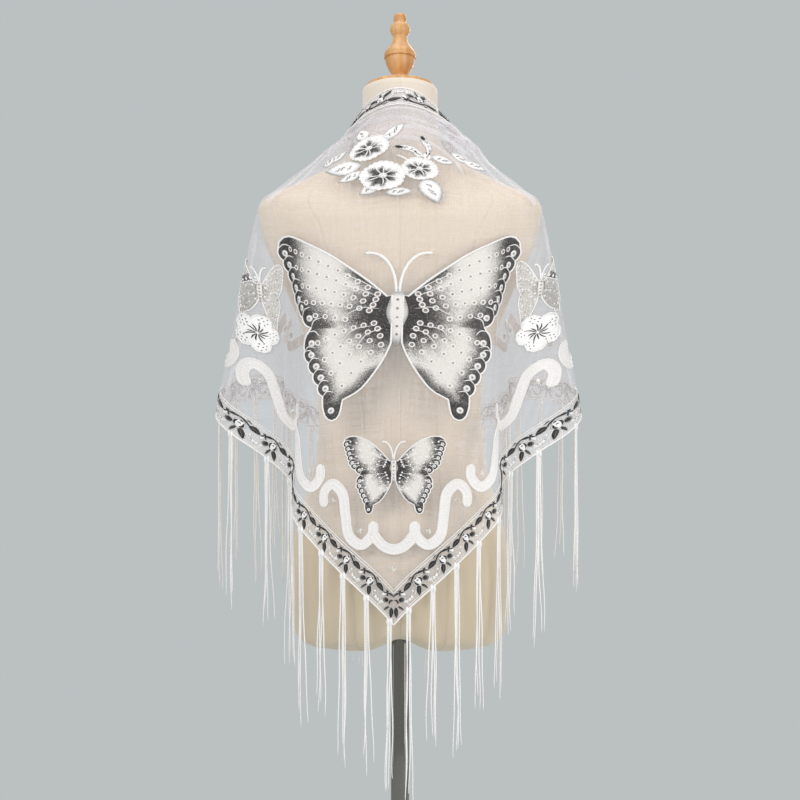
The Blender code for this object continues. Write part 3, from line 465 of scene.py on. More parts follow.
threads = add_node(tree, "ShaderNodeMapRange", {"From Min": 0.6, "From Max": 1.4}, {"Value": (weave, 0)})
yarn = add_node(tree, "ShaderNodeMix", {6: linear("#E4D1B7"), 7: linear("#E8D8C1")},
                {0: (threads, 0)}, data_type="RGBA")
tone = add_node(tree, "ShaderNodeMix", {7: linear("#DECAAC")}, {6: (yarn, 2)}, data_type="RGBA")
aged = add_node(tree, "ShaderNodeMapRange", {"From Min": 0.45, "From Max": 0.75, "To Max": 0.35},
                {"Value": (blotch, 0)})
tree.links.new(aged.outputs[0], tone.inputs[0])
panels = add_node(tree, "ShaderNodeUVMap", uv_map="cover")
split = add_node(tree, "ShaderNodeSeparateXYZ", links={0: (panels, 0)})
whole = add_node(tree, "ShaderNodeMath", links={0: (split, 0)}, operation="ROUND")
apart = add_node(tree, "ShaderNodeMath", links={0: (split, 0), 1: (whole, 0)}, operation="SUBTRACT")
away = add_node(tree, "ShaderNodeMath", links={0: (apart, 0)}, operation="ABSOLUTE")
seam = add_node(tree, "ShaderNodeMapRange", {"From Max": SEAM_SHARE, "To Min": 1.0, "To Max": 0.0},
                {"Value": (away, 0)}, interpolation_type="SMOOTHSTEP")
roll = add_node(tree, "ShaderNodeMapRange", {"From Max": 3 * SEAM_SHARE, "To Min": 0.0, "To Max": 1.0},
                {"Value": (away, 0)}, interpolation_type="SMOOTHSTEP")
# The cover is darker towards its hem, and paler and less yellow at the neck.
level = add_node(tree, "ShaderNodeSeparateXYZ", links={0: (place, "Object")})
low = add_node(tree, "ShaderNodeMapRange", {"From Min": 1.02, "From Max": 0.84}, {"Value": (level, 2)},
               interpolation_type="SMOOTHSTEP")
high = add_node(tree, "ShaderNodeMapRange", {"From Min": 1.46, "From Max": 1.53}, {"Value": (level, 2)},
                interpolation_type="SMOOTHSTEP")
at_hem = add_node(tree, "ShaderNodeMix", {7: linear("#D2C3AB")}, {0: (low, 0), 6: (tone, 2)},
                  data_type="RGBA")
at_neck = add_node(tree, "ShaderNodeMix", {7: linear("#E8DCCD")}, {0: (high, 0), 6: (at_hem, 2)},
                   data_type="RGBA")
dark = add_node(tree, "ShaderNodeMix", {7: linear("#B7A68A")}, {6: (at_neck, 2)}, data_type="RGBA")
faint = add_node(tree, "ShaderNodeMath", {1: 0.22}, {0: (seam, 0)}, operation="MULTIPLY")
tree.links.new(faint.outputs[0], dark.inputs[0])
tree.links.new(dark.outputs[2], shader.inputs["Base Color"])
fine = add_node(tree, "ShaderNodeBump", {"Strength": 0.15, "Distance": 0.0003}, {"Height": (weave, 0)})
deep = add_node(tree, "ShaderNodeBump", {"Strength": 0.4, "Distance": 0.0012},
                {"Height": (roll, 0), "Normal": (fine, 0)})
tree.links.new(deep.outputs[0], shader.inputs["Normal"])
BODY.data.materials.append(linen)
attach(BODY, "root")
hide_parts("form_torso")
print("linen", len(tree.nodes), "nodes")

# %% [markdown]
# ## The worn cloth
# A grid of points is read from the tables, with the creases added along its normals. Where a crease
# would sink into the form, the point is moved out again, as real cloth would be.

# %% The worn cloth's grid
CLOTH_CLEARANCE = 0.0007


class Drape:
    """The worn cloth's middle surface, read by azimuth and distance down a fall line."""

    azimuth_step = 0.5
    run_step = 0.0025
    longest_run = 0.80
    samples_per_level = 30

    def __init__(self):
        steps = round(FRONT_EDGE / self.azimuth_step)
        azimuth = np.arange(-steps, steps + 1)[:, None] * self.azimuth_step
        count = (len(LEVELS) - 1) * self.samples_per_level + 1
        values = smooth_rows(range(len(LEVELS)), list(LEVELS.values()),
                             np.linspace(0, len(LEVELS) - 1, count))
        side, back, front, z_back, z_side, z_front, fold, puff = values.T[:, None, :]
        sine = np.sin(np.radians(azimuth))
        cosine = np.cos(np.radians(azimuth))
        depth = np.where(cosine > 0, back, front)
        radius = 1 / np.sqrt((sine / side) ** 2 + (cosine / depth) ** 2)
        for centre, half_width, dip in FOLDS.values():
            radius = radius - fold * dip * np.exp(-0.5 * ((azimuth - centre) / half_width) ** 2)
        radius = radius + puff * PUFF_DEPTH * np.exp(
            -0.5 * ((azimuth - PUFF_AZIMUTH) / PUFF_HALF_WIDTH) ** 2)
        middle = np.where(cosine > 0, z_back, z_front)
        height = z_side + (middle - z_side) * cosine ** 2
        sway = (SWAY + POINT_SWAY * np.maximum(cosine, 0) ** 2) * fold
        path = np.stack([radius * sine + sway, -radius * cosine, height], axis=2)
        length = np.linalg.norm(np.diff(path, axis=1), axis=2)
        run = np.concatenate([np.zeros((len(path), 1)), np.cumsum(length, axis=1)], axis=1)
        at = np.arange(0, self.longest_run, self.run_step)
        self.points = np.stack([
            np.stack([np.interp(at, run[i], path[i, :, axis]) for axis in range(3)], axis=1)
            for i in range(len(path))])
        self.normals = self.outward()
        start, lean = fall_line(np.abs(azimuth))
        s = np.sign(azimuth) * (start + at * np.sin(lean))
        self.points = self.points + crease_height(s, at * np.cos(lean))[..., None] * self.normals
        self.clear_of_body()
        self.normals = self.outward()

    def outward(self):
        across = np.gradient(self.points, axis=0)
        down = np.gradient(self.points, axis=1)
        normals = np.cross(down, across)
        return normals / np.linalg.norm(normals, axis=2, keepdims=True)

    def clear_of_body(self):
        """Move points that are inside the form, or too near it, out along the form's normal."""
        moved = 0
        for i, j in np.ndindex(*self.points.shape[:2]):
            point = Vector(self.points[i, j])
            near, normal, _, _ = BODY_TREE.find_nearest(point, 0.02)
            if near is None:
                continue
            apart = (point - near).dot(normal)
            if apart < CLOTH_CLEARANCE:
                self.points[i, j] += np.array(normal) * (CLOTH_CLEARANCE - apart)
                moved += 1
        print("points of the cloth moved clear of the form:", moved)

    def sample(self, grid, azimuth, run):
        """Bilinear reading of a grid at azimuths and runs."""
        column = (np.asarray(azimuth, float) + FRONT_EDGE) / self.azimuth_step
        row = np.asarray(run, float) / self.run_step
        i = np.clip(np.floor(column).astype(int), 0, grid.shape[0] - 2)
        j = np.clip(np.floor(row).astype(int), 0, grid.shape[1] - 2)
        u = (column - i)[..., None]
        v = (row - j)[..., None]
        return ((1 - u) * (1 - v) * grid[i, j] + u * (1 - v) * grid[i + 1, j]
                + (1 - u) * v * grid[i, j + 1] + u * v * grid[i + 1, j + 1])

    def at_fall(self, azimuth, run, lift=0.0):
        """Points on the cloth, or `lift` outside it."""
        normal = self.sample(self.normals, azimuth, run)
        normal = normal / np.linalg.norm(normal, axis=-1, keepdims=True)
        return self.sample(self.points, azimuth, run) + np.asarray(lift)[..., None] * normal

    def at_flat(self, s, t, lift=0.0):
        """The same for points of the flat cloth."""
        azimuth, run = fall_coordinates(np.asarray(s, float), np.asarray(t, float))
        return self.at_fall(azimuth, run, lift)


DRAPE = Drape()

# %% [markdown]
# ### The sheet
# One continuous sheet from front edge to front edge, with rows that follow the fall lines to the hem.
# A live Solidify gives it its wall.

# %% Make the sheet
SHEET_WALL = 0.0004
SHEET_COLUMNS = 300
SHEET_ROWS = 96
azimuths = np.linspace(-FRONT_EDGE, FRONT_EDGE, SHEET_COLUMNS)[:, None]
runs = run_to_hem(azimuths) * np.linspace(0, 1, SHEET_ROWS)
azimuths = np.repeat(azimuths, SHEET_ROWS, axis=1)
sheet_points = DRAPE.at_fall(azimuths, runs).reshape(-1, 3)
sheet_faces = []
for i in range(SHEET_COLUMNS - 1):
    for j in range(SHEET_ROWS - 1):
        a = i * SHEET_ROWS + j
        sheet_faces.append((a, a + 1, a + SHEET_ROWS + 1, a + SHEET_ROWS))
CLOTH = mesh_object("scarf_cloth", sheet_points, sheet_faces)
start, lean = fall_line(np.abs(azimuths))
flat_s = (np.sign(azimuths) * (start + runs * np.sin(lean))).ravel()
flat_t = (runs * np.cos(lean)).ravel()
flat_map = CLOTH.data.uv_layers.new(name="flat")
loop_verts = np.empty(len(CLOTH.data.loops), int)
CLOTH.data.loops.foreach_get("vertex_index", loop_verts)
flat_map.data.foreach_set("uv", np.stack([flat_s[loop_verts], flat_t[loop_verts]], axis=1).ravel())
wall = CLOTH.modifiers.new("wall", "SOLIDIFY")
wall.thickness = SHEET_WALL
wall.offset = 0.0
print("sheet", len(sheet_faces), "faces")

# %% [markdown]
# ### Organza
# Organza is an open plain weave of very fine, stiff filament, a faint bluish veil that whitens where
# folds overlap. Its threads are about 0.2 mm apart and can't show, so it has an even transparency
# with slight streaks along both threads. It is denser at the nape, where the cloth is gathered.

# %% Organza finish
organza, tree, shader = new_finish("white_organza", Base_Color=linear("#F5F3FA"), Roughness=0.5,
                                   Sheen_Weight=0.6, Sheen_Roughness=0.35)
flat = add_node(tree, "ShaderNodeUVMap", uv_map="flat")
along = add_node(tree, "ShaderNodeMapping", {"Scale": (30, 900, 1)}, {"Vector": (flat, 0)})
across = add_node(tree, "ShaderNodeMapping", {"Scale": (900, 30, 1)}, {"Vector": (flat, 0)})
streak_a = add_node(tree, "ShaderNodeTexNoise", {"Scale": 0.5, "Detail": 1.0}, {"Vector": (along, 0)})
streak_b = add_node(tree, "ShaderNodeTexNoise", {"Scale": 0.5, "Detail": 1.0}, {"Vector": (across, 0)})
both = add_node(tree, "ShaderNodeMath", links={0: (streak_a, 0), 1: (streak_b, 0)}, operation="ADD")
veil = add_node(tree, "ShaderNodeMapRange",
                {"From Min": 0.7, "From Max": 1.3, "To Min": 0.08, "To Max": 0.18}, {"Value": (both, 0)})
level = add_node(tree, "ShaderNodeSeparateXYZ", links={0: (add_node(tree, "ShaderNodeTexCoord"), "Object")})
nape = add_node(tree, "ShaderNodeMapRange", {"From Min": 1.445, "From Max": 1.49, "To Max": 0.12},
                {"Value": (level, 2)}, interpolation_type="SMOOTHSTEP")
gathered = add_node(tree, "ShaderNodeMath", links={0: (veil, 0), 1: (nape, 0)}, operation="ADD")
tree.links.new(gathered.outputs[0], shader.inputs["Alpha"])
CLOTH.data.materials.append(organza)
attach(CLOTH, "root")
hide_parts("scarf_back", "scarf_left", "scarf_right")
print("organza", len(tree.nodes), "nodes")

# %% [markdown]
# ## Drawing on the flat cloth
# Embroidery, braid and appliques are drawn flat, as across, up and lift, and then laid on the worn
# cloth. A shape is one of a few kinds: a lens for a satin-stitched leaf or petal, a round cord, a
# worked ring, or a flat braid. Each is a closed solid, so it also holds up from the back.

# %% Threads
THREAD_COLOURS = {
    "white": "#FDFBFA",
    "cream": "#F1EDE9",
    "satin": "#E6E1DC",
    "braid": "#F5F1EF",
    "black": "#1F1C1A",
    "grey": "#77736F",
    "painted_glint_grey": "#C9C6C4",
    "hole": "#A88F7B",
}
THREADS = {name: linear(code)[:3] for name, code in THREAD_COLOURS.items()}
LAID = 0.0006


def smooth_path(points, count):
    """A smooth open curve through given points, read at even lengths."""
    points = np.asarray(points, float)
    padded = np.vstack([2 * points[0] - points[1], points, 2 * points[-1] - points[-2]])
    at = np.linspace(0, len(points) - 1, 40 * len(points))
    i = np.clip(np.floor(at).astype(int), 0, len(points) - 2)
    f = (at - i)[:, None]
    a, b, c, d = padded[i], padded[i + 1], padded[i + 2], padded[i + 3]
    curve = 0.5 * (2 * b + (c - a) * f + (2 * a - 5 * b + 4 * c - d) * f ** 2
                   + (3 * b - a - 3 * c + d) * f ** 3)
    run = np.append(0, np.cumsum(np.linalg.norm(np.diff(curve, axis=0), axis=1)))
    wanted = np.linspace(0, run[-1], count)
    return np.stack([np.interp(wanted, run, curve[:, axis]) for axis in range(2)], axis=1)


def turned(points, degrees):
    """Flat points turned about their origin, anticlockwise."""
    cosine = math.cos(math.radians(degrees))
    sine = math.sin(math.radians(degrees))
    return np.asarray(points, float) @ np.array([[cosine, sine], [-sine, cosine]])


def oval(half_length, half_width, count=14):
    angle = np.arange(count) * 2 * math.pi / count
    return np.stack([half_length * np.cos(angle), half_width * np.sin(angle)], axis=1)


def leaf(length, width, count=7, bend=0.0):
    """A pointed leaf from its stalk at the origin along the first axis."""
    at = np.linspace(0, 1, count)
    half = width / 2 * np.sin(math.pi * at ** 0.8) ** 0.85
    sag = bend * np.sin(math.pi * at)
    lower = np.stack([length * at, sag - half], axis=1)
    upper = np.stack([length * at, sag + half], axis=1)
    return np.vstack([lower, upper[-2:0:-1]])


def crescent(radius, width, start, end, count=8):
    """A crescent of an arc about the origin, between two angles in degrees."""
    angle = np.radians(np.linspace(start, end, count))
    half = width / 2 * np.sin(np.linspace(0, math.pi, count)) ** 0.7
    ray = np.stack([np.cos(angle), np.sin(angle)], axis=1)
    return np.vstack([ray * (radius + half)[:, None], (ray * (radius - half)[:, None])[-2:0:-1]])


def inside(points, outline):
    """Which of the points are inside a closed outline."""
    x, y = points.T
    result = np.zeros(len(points), bool)
    for (x0, y0), (x1, y1) in zip(outline, np.roll(outline, -1, axis=0)):
        if y0 != y1:
            crosses = (y0 > y) != (y1 > y)
            result ^= crosses & (x < (x1 - x0) * (y - y0) / (y1 - y0) + x0)
    return result


def distance_to_line(points, line, closed=False):
    """The shortest distance from each point to a line of straight pieces."""
    line = np.asarray(line, float)
    ends = np.roll(line, -1, axis=0) if closed else line[1:]
    shortest = np.full(len(points), np.inf)
    for a, b in zip(line, ends):
        along = b - a
        size = max(float(along @ along), 1e-12)
        share = np.clip(((points - a) @ along) / size, 0, 1)
        apart = points - a - share[:, None] * along
        shortest = np.minimum(shortest, np.hypot(apart[:, 0], apart[:, 1]))
    return shortest


def left_of(path, closed=False):
    """Unit steps to the left of a flat path, one at each of its points."""
    if closed:
        direction = np.roll(path, -1, axis=0) - np.roll(path, 1, axis=0)
    else:
        direction = np.gradient(path, axis=0)
    direction = direction / np.linalg.norm(direction, axis=1, keepdims=True)
    return np.stack([-direction[:, 1], direction[:, 0]], axis=1)


def slab_faces(cells, count):
    """The top, underside and rim of a slab whose underside's `count` points follow the top's."""
    edges = {(a, b) for cell in cells for a, b in zip(cell, cell[1:] + cell[:1])}
    faces = [tuple(cell) for cell in cells]
    faces += [tuple(k + count for k in cell[::-1]) for cell in cells]
    return faces + [(b, a, a + count, b + count) for a, b in edges if (b, a) not in edges]


def turned_left(cell, flat):
    """A face's point numbers in anticlockwise order."""
    x, y = flat[list(cell)].T
    area = np.sum(x * np.roll(y, -1) - y * np.roll(x, -1))
    return list(cell) if area > 0 else list(cell)[::-1]


def fade(values, low, high):
    """1 below `low`, 0 above `high`, with a soft step between."""
    share = np.clip((np.asarray(values, float) - low) / (high - low), 0, 1)
    return 1 - share * share * (3 - 2 * share)


LENS_CROWN = 0.6
LENS_SHOULDER = 0.85
CORD_FLATNESS = 0.8


class FlatWork:
    """Shapes on the flat cloth: each one's points as (across, up, lift), its faces and its colour."""

    def __init__(self):
        self.shapes = []

    def add(self, points, faces, colour, ink=0.0, cloth=0):
        points = np.asarray(points, float)
        ink = np.broadcast_to(np.asarray(ink, float), (len(points),))
        self.shapes.append((points, faces, np.asarray(colour, float), ink, cloth))

    def lens(self, outline, base, height, colour, place=(0, 0), turn=0):
        """A low cushion of thread on an outline, with a flat underside."""
        outline = turned(outline, turn) + place
        x, y = outline.T
        if np.sum(x * np.roll(y, -1) - y * np.roll(x, -1)) < 0:
            outline = outline[::-1]
        count = len(outline)
        centre = outline.mean(axis=0)
        inner = centre + LENS_CROWN * (outline - centre)
        flat = np.vstack([outline, inner, centre, centre])
        lifts = np.concatenate([np.full(count, base), np.full(count, base + LENS_SHOULDER * height),
                                [base + height, base]])
        faces = []
        for k in range(count):
            after = (k + 1) % count
            faces.append((k, after, count + after, count + k))
            faces.append((count + k, count + after, 2 * count))
            faces.append((after, k, 2 * count + 1))
        self.add(np.column_stack([flat, lifts]), faces, THREADS[colour])

    def cord(self, path, radius, base, colour, closed=False, sides=6, taper=False):
        """A round cord along a path, flattened a little where it is sewn down."""
        path = np.asarray(path, float)
        left = left_of(path, closed)
        count = len(path)
        size = np.full(count, radius)
        if taper:
            size = radius * (0.25 + 0.75 * np.sin(np.linspace(0, math.pi, count)) ** 0.6)
        angle = np.arange(sides) * 2 * math.pi / sides
        flat = path[:, None] + left[:, None] * (size[:, None] * np.cos(angle))[..., None]
        lifts = base + CORD_FLATNESS * size[:, None] * (1 + np.sin(angle))
        points = np.concatenate([flat, lifts[..., None]], axis=2).reshape(-1, 3)
        self.add(points, ring_faces(count, sides, closed), THREADS[colour])

    def ring(self, centre, outer, inner, base, height, colour, count=10):
        """A worked ring round an eyelet, three-sided in section."""
        angle = np.arange(count) * 2 * math.pi / count
        ray = np.stack([np.cos(angle), np.sin(angle)], axis=1)
        sizes = (inner, (inner + outer) / 2, outer)
        lifts = (base, base + height, base)
        points = np.concatenate([
            np.column_stack([np.asarray(centre) + ray * size, np.full(count, lift)])
            for size, lift in zip(sizes, lifts)])
        faces = []
        for i in range(count):
            after = (i + 1) % count
            for k in range(3):
                up = (k + 1) % 3
                faces.append((k * count + i, up * count + i, up * count + after, k * count + after))
        self.add(points, faces, THREADS[colour])

    def eyelet(self, centre, outer, base):
        """A ring with the cloth's darker hole in it."""
        self.ring(centre, outer, 0.44 * outer, base, 0.0006, "white")
        self.lens(oval(0.48 * outer, 0.48 * outer, 8), base, 0.00015, "hole", centre)

    def braid(self, path, half_width, base, colour, profile):
        """A flat braid along a path with round ends: `profile` gives lifts at shares of its half-width."""
        left = left_of(path)
        run = np.append(0, np.cumsum(np.linalg.norm(np.diff(path, axis=0), axis=1)))
        inset = np.clip(np.minimum(run, run[-1] - run) / half_width, 0.06, 1)
        size = half_width * np.sqrt(1 - (1 - inset) ** 2)
        shares = np.array([share for share, _ in profile] + [-0.9, 0.9])
        lifts = np.array([lift for _, lift in profile] + [0, 0])
        flat = path[:, None] + left[:, None] * (size[:, None] * shares)[..., None]
        height = np.broadcast_to(base + lifts, flat.shape[:2])
        points = np.concatenate([flat, height[..., None]], axis=2).reshape(-1, 3)
        self.add(points, ring_faces(len(path), len(shares)), THREADS[colour])

    def panel(self, outline, base, thickness, spacing, ink=None, colour="satin"):
        """A flat cut-out of cloth with a grid of points inside, for shading by `ink`."""
        outline = np.asarray(outline, float)
        low = outline.min(axis=0)
        high = outline.max(axis=0)
        across = np.arange(low[0], high[0], spacing)
        up = np.arange(low[1], high[1], spacing)
        grid = np.stack(np.meshgrid(across, up), axis=2).reshape(-1, 2)
        grid = grid[inside(grid, outline) & (distance_to_line(grid, outline, True) > 0.45 * spacing)]
        every = np.vstack([outline, grid])
        points, _, cells, _, _, _ = delaunay_2d_cdt(
            [Vector(point) for point in every], [], [list(range(len(outline)))], 1, 1e-7)
        flat = np.array(points)
        cells = [turned_left(cell, flat) for cell in cells]
        count = len(flat)
        both = np.vstack([flat, flat])
        lifts = np.repeat([base + thickness, base], count)
        shade = 0.0 if ink is None else ink(both)
        self.add(np.column_stack([both, lifts]), slab_faces(cells, count), THREADS[colour], shade, 1)

    def stamp(self, other, place, keep):
        """Add all of another drawing's shapes, moved by `place`, where `keep` allows each."""
        origin = np.array(place(np.array([0.0, 0.001, 0.0]), np.array([0.0, 0.0, 0.001])))
        ahead = origin[:, 1] - origin[:, 0]
        aside = origin[:, 2] - origin[:, 0]
        mirrored = ahead[0] * aside[1] - ahead[1] * aside[0] < 0
        for points, faces, colour, ink, cloth in other.shapes:
            if not keep(*points[:, :2].mean(axis=0)):
                continue
            x, y = place(points[:, 0], points[:, 1])
            if mirrored:
                faces = [face[::-1] for face in faces]
            self.add(np.stack([x, y, points[:, 2]], axis=1), faces, colour, ink, cloth)

    def turn(self, degrees):
        """Turn every shape about the drawing's own origin."""
        self.shapes = [(np.column_stack([turned(points[:, :2], degrees), points[:, 2]]), *rest)
                       for points, *rest in self.shapes]

    def lay(self, name, materials, middle=(0.0, 0.0)):
        """Carry every shape to the worn cloth, with up away from the point, as one piece."""
        points = np.concatenate([shape[0] for shape in self.shapes])
        world_points = DRAPE.at_flat(middle[0] + points[:, 0], middle[1] - points[:, 1],
                                     SHEET_WALL / 2 + points[:, 2])
        faces = []
        cloths = []
        colours = np.ones((len(points), 4))
        first = 0
        for shape, shape_faces, colour, ink, cloth in self.shapes:
            faces.extend(tuple(k + first for k in face) for face in shape_faces)
            cloths.extend([cloth] * len(shape_faces))
            colours[first:first + len(shape), :3] = colour
            colours[first:first + len(shape), 3] = ink
            first += len(shape)
        item = mesh_object(name, world_points, faces)
        layer = item.data.color_attributes.new("thread", "FLOAT_COLOR", "POINT")
        layer.data.foreach_set("color", colours.ravel())
        for material in materials:
            item.data.materials.append(material)
        if len(cloths) == len(item.data.polygons):
            item.data.polygons.foreach_set("material_index", cloths)
        else:
            print(name, "lost faces:", len(cloths) - len(item.data.polygons))
        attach(item, "root")
        item.data.calc_loop_triangles()
        print(name, len(item.data.loop_triangles), "triangles")
        return item


# %% [markdown]
# ### Embroidery thread
# Rayon thread is smooth and bright. Its strands are 0.4 mm apart, and are drawn at about 0.9 mm as a
# fine bump.

# %% Thread finish
STITCH = 0.0009
rayon, tree, shader = new_finish("rayon_embroidery", Roughness=0.42, Sheen_Weight=0.3, Sheen_Roughness=0.4)
thread = add_node(tree, "ShaderNodeVertexColor", layer_name="thread")
place = add_node(tree, "ShaderNodeTexCoord")
scale = add_node(tree, "ShaderNodeMapping", {"Scale": (1 / STITCH, 1 / STITCH, 0.6 / STITCH),
                                             "Rotation": (0.0, 0.6, 0.0)}, {"Vector": (place, "Object")})
strands = add_node(tree, "ShaderNodeTexNoise", {"Scale": 0.8, "Detail": 2.0}, {"Vector": (scale, 0)})
shade = add_node(tree, "ShaderNodeMapRange", {"From Min": 0.3, "From Max": 0.7, "To Min": 0.86},
                 {"Value": (strands, 0)})
tinted = add_node(tree, "ShaderNodeVectorMath", links={0: (thread, 0), "Scale": (shade, 0)},
                  operation="SCALE")
tree.links.new(tinted.outputs[0], shader.inputs["Base Color"])
stitches = add_node(tree, "ShaderNodeBump", {"Strength": 0.4, "Distance": 0.0004}, {"Height": (strands, 0)})
tree.links.new(stitches.outputs[0], shader.inputs["Normal"])

# %% [markdown]
# ### Printed satin and band net
# The butterflies and the flower heads are white satin with a charcoal print that fades in fine dots.
# The dots are about 0.5 mm on the real print and are drawn at about 1 mm. The band's ground is a
# denser net.

# %% Satin and net finishes
PRINT_DOT = 0.0011
# On the blooms the same ink also paints faint shade at the joins between petals.
satin, tree, shader = new_finish("printed_satin", Roughness=0.45, Sheen_Weight=0.3, Sheen_Roughness=0.35)
ground = add_node(tree, "ShaderNodeVertexColor", layer_name="thread")
place = add_node(tree, "ShaderNodeTexCoord")
dots = add_node(tree, "ShaderNodeTexNoise", {"Scale": 1 / PRINT_DOT, "Detail": 1.0},
                {"Vector": (place, "Object")})
centred = add_node(tree, "ShaderNodeMath", {1: 0.5}, {0: (dots, 0)}, operation="SUBTRACT")
spread = add_node(tree, "ShaderNodeMath", {1: 1.5}, {0: (centred, 0)}, operation="MULTIPLY")
printed = add_node(tree, "ShaderNodeMath", links={0: (ground, "Alpha"), 1: (spread, 0)}, operation="ADD")
strength = add_node(tree, "ShaderNodeMapRange", {"From Min": 0.05, "From Max": 0.98},
                    {"Value": (printed, 0)}, interpolation_type="SMOOTHSTEP")
inked = add_node(tree, "ShaderNodeMix", {7: linear("#26221F")},
                 {0: (strength, 0), 6: (ground, "Color")}, data_type="RGBA")
tree.links.new(inked.outputs[2], shader.inputs["Base Color"])
grain = add_node(tree, "ShaderNodeBump", {"Strength": 0.2, "Distance": 0.0003}, {"Height": (dots, 0)})
tree.links.new(grain.outputs[0], shader.inputs["Normal"])

net, tree, shader = new_finish("band_net", Base_Color=linear("#F3F1F2"), Roughness=0.6)
place = add_node(tree, "ShaderNodeTexCoord")
holes = add_node(tree, "ShaderNodeTexNoise", {"Scale": 500.0, "Detail": 1.0}, {"Vector": (place, "Object")})
openness = add_node(tree, "ShaderNodeMapRange",
                    {"From Min": 0.3, "From Max": 0.7, "To Min": 0.06, "To Max": 0.15}, {"Value": (holes, 0)})
tree.links.new(openness.outputs[0], shader.inputs["Alpha"])

# %% [markdown]
# ## The bands
# The woven band repeats one rose every 46 mm: a white rose with black curls, black leaves edged in
# white, a grey bud, a black vine that runs on from repeat to repeat, and pale crescents and dots. The
# motif is drawn once, in millimetres along and up from the band's outer edge, and stamped along each
# edge of the cloth.

# %% One repeat of the band
MM = 0.001


def edged_leaf(work, place, turn, length, width, bend=0.0):
    """A black leaf with a white edge and a grey vein."""
    place = np.array(place) * MM
    rim = leaf(length * MM, width * MM, 8, bend * MM)
    work.lens(rim - (length * MM / 2, 0), LAID, 0.0006, "white", place, turn)
    inner = leaf((length - 1.8) * MM, (width - 1.5) * MM, 8, bend * MM)
    work.lens(inner - ((length - 1.8) * MM / 2, 0), LAID + 0.0004, 0.0006, "black", place, turn)
    shares = ((-0.20, 0.4), (0.05, 0.9), (0.28, 0.5))
    vein = np.array([(along * length, up * bend) for along, up in shares]) * MM
    work.cord(turned(vein, turn) + place, 0.00028, LAID + 0.0009, "grey", sides=4)


def band_rose(work, place):
    """A small rose: five lobed petals, a black curl on each side and a white heart."""
    angle = np.arange(20) * 2 * math.pi / 20
    size = (6.9 + 0.9 * np.cos(5 * angle)) * MM
    petals = np.stack([size * np.cos(angle), size * np.sin(angle)], axis=1)
    work.lens(petals, LAID + 0.0004, 0.0012, "white", np.array(place) * MM)
    for radius, width, start, end in ((4.6, 2.4, -75, 42), (4.8, 2.6, 122, 242), (2.0, 1.2, 10, 190),
                                      (5.0, 1.7, 58, 108)):
        arc = crescent(radius * MM, width * MM, start, end)
        work.lens(arc + np.array(place) * MM, LAID + 0.0013, 0.0005, "black")


def band_repeat():
    """One rose with its leaves, bud and vine, the rose's middle above the origin."""
    work = FlatWork()
    edged_leaf(work, (16.6, 23.4), -6, 19, 8.8, 0.9)
    edged_leaf(work, (7.0, 9.8), -50, 17.5, 8.4, 0.6)
    edged_leaf(work, (-2.2, 9.2), -108, 13, 5.2, -0.6)
    edged_leaf(work, (-9.6, 27.2), 14, 13, 5.0, 0.5)
    edged_leaf(work, (6.5, 29.6), -14, 9, 3.6, 0.3)
    work.lens(oval(5.6 * MM, 4.4 * MM, 12), LAID, 0.0010, "white", np.array((-11.4, 16.4)) * MM, 25)
    work.lens(oval(4.8 * MM, 3.6 * MM, 10), LAID + 0.0006, 0.0008, "grey", np.array((-11.2, 16.7)) * MM, 25)
    work.lens(oval(3.9 * MM, 2.6 * MM, 8), LAID + 0.0012, 0.0003, "black", np.array((-10.4, 17.4)) * MM, 25)
    work.lens(leaf(8.5 * MM, 3.0 * MM), LAID, 0.0006, "white", np.array((-11.5, 13.0)) * MM, 215)
    band_rose(work, (0.0, 20.0))
    moon = crescent(8.0 * MM, 3.6 * MM, 195, 325, 10)
    work.lens(moon + np.array((24.0, 16.5)) * MM, LAID, 0.0006, "white")
    for x, y in ((18.4, 11.4), (23.0, 8.8), (28.0, 10.2)):
        work.lens(oval(0.8 * MM, 0.8 * MM, 6), LAID + 0.0005, 0.0003, "grey", np.array((x, y)) * MM)
    work.lens(leaf(9 * MM, 4.6 * MM), LAID, 0.0006, "white", np.array((25.0, 17.5)) * MM, 48)
    work.lens(oval(1.6 * MM, 1.6 * MM, 8), LAID, 0.0006, "white", np.array((14.5, 15.0)) * MM)
    for path in (((6.0, 17.0), (11.0, 12.5), (17.0, 9.0)), ((-10.5, 12.0), (-14.0, 8.0), (-16.5, 3.0)),
                 ((-14.0, 8.0), (-17.5, 8.8), (-19.5, 7.0)), ((24.0, 23.6), (28.0, 25.0), (31.0, 26.2)),
                 ((30.0, 10.0), (31.5, 13.5), (30.5, 17.0))):
        work.cord(smooth_path(np.array(path) * MM, 6), 0.0005, LAID, "white", sides=4)
    for path in (((-15.5, 25.6), (-9.0, 28.2), (-2.5, 29.0), (3.5, 27.6), (8.5, 24.6)),
                 ((-19.0, 27.2), (-15.5, 25.6), (-12.6, 21.8)), ((26.0, 22.6), (28.6, 25.0), (30.0, 28.2))):
        work.cord(smooth_path(np.array(path) * MM, 8), 0.0009, LAID + 0.0003, "black", sides=5)
    return work


REPEAT = band_repeat()
print("one repeat has", len(REPEAT.shapes), "shapes")

# %% Stamp the band along the edges
EDGE_LENGTH = HALF_LENGTH * math.sqrt(2)
HEM_REPEATS = 23
NECK_REPEATS = 32
MITRE_CLEARANCE = 0.003
REPEAT_LENGTH = 0.0458
NET_ROWS = 8
NET_COLUMNS = 260
NET_WALL = 0.0003
CORD_SINK = 0.0004
HEM_CORDS = (
    # height on the band, radius, colour
    (0.0012, 0.0013, "white"), (0.0040, 0.0006, "cream"),
    (0.0310, 0.0006, "white"), (0.0340, 0.0008, "cream"),
)
NECK_CORDS = ((0.0012, 0.0011, "white"), (0.0310, 0.0006, "white"), (0.0340, 0.0009, "white"))


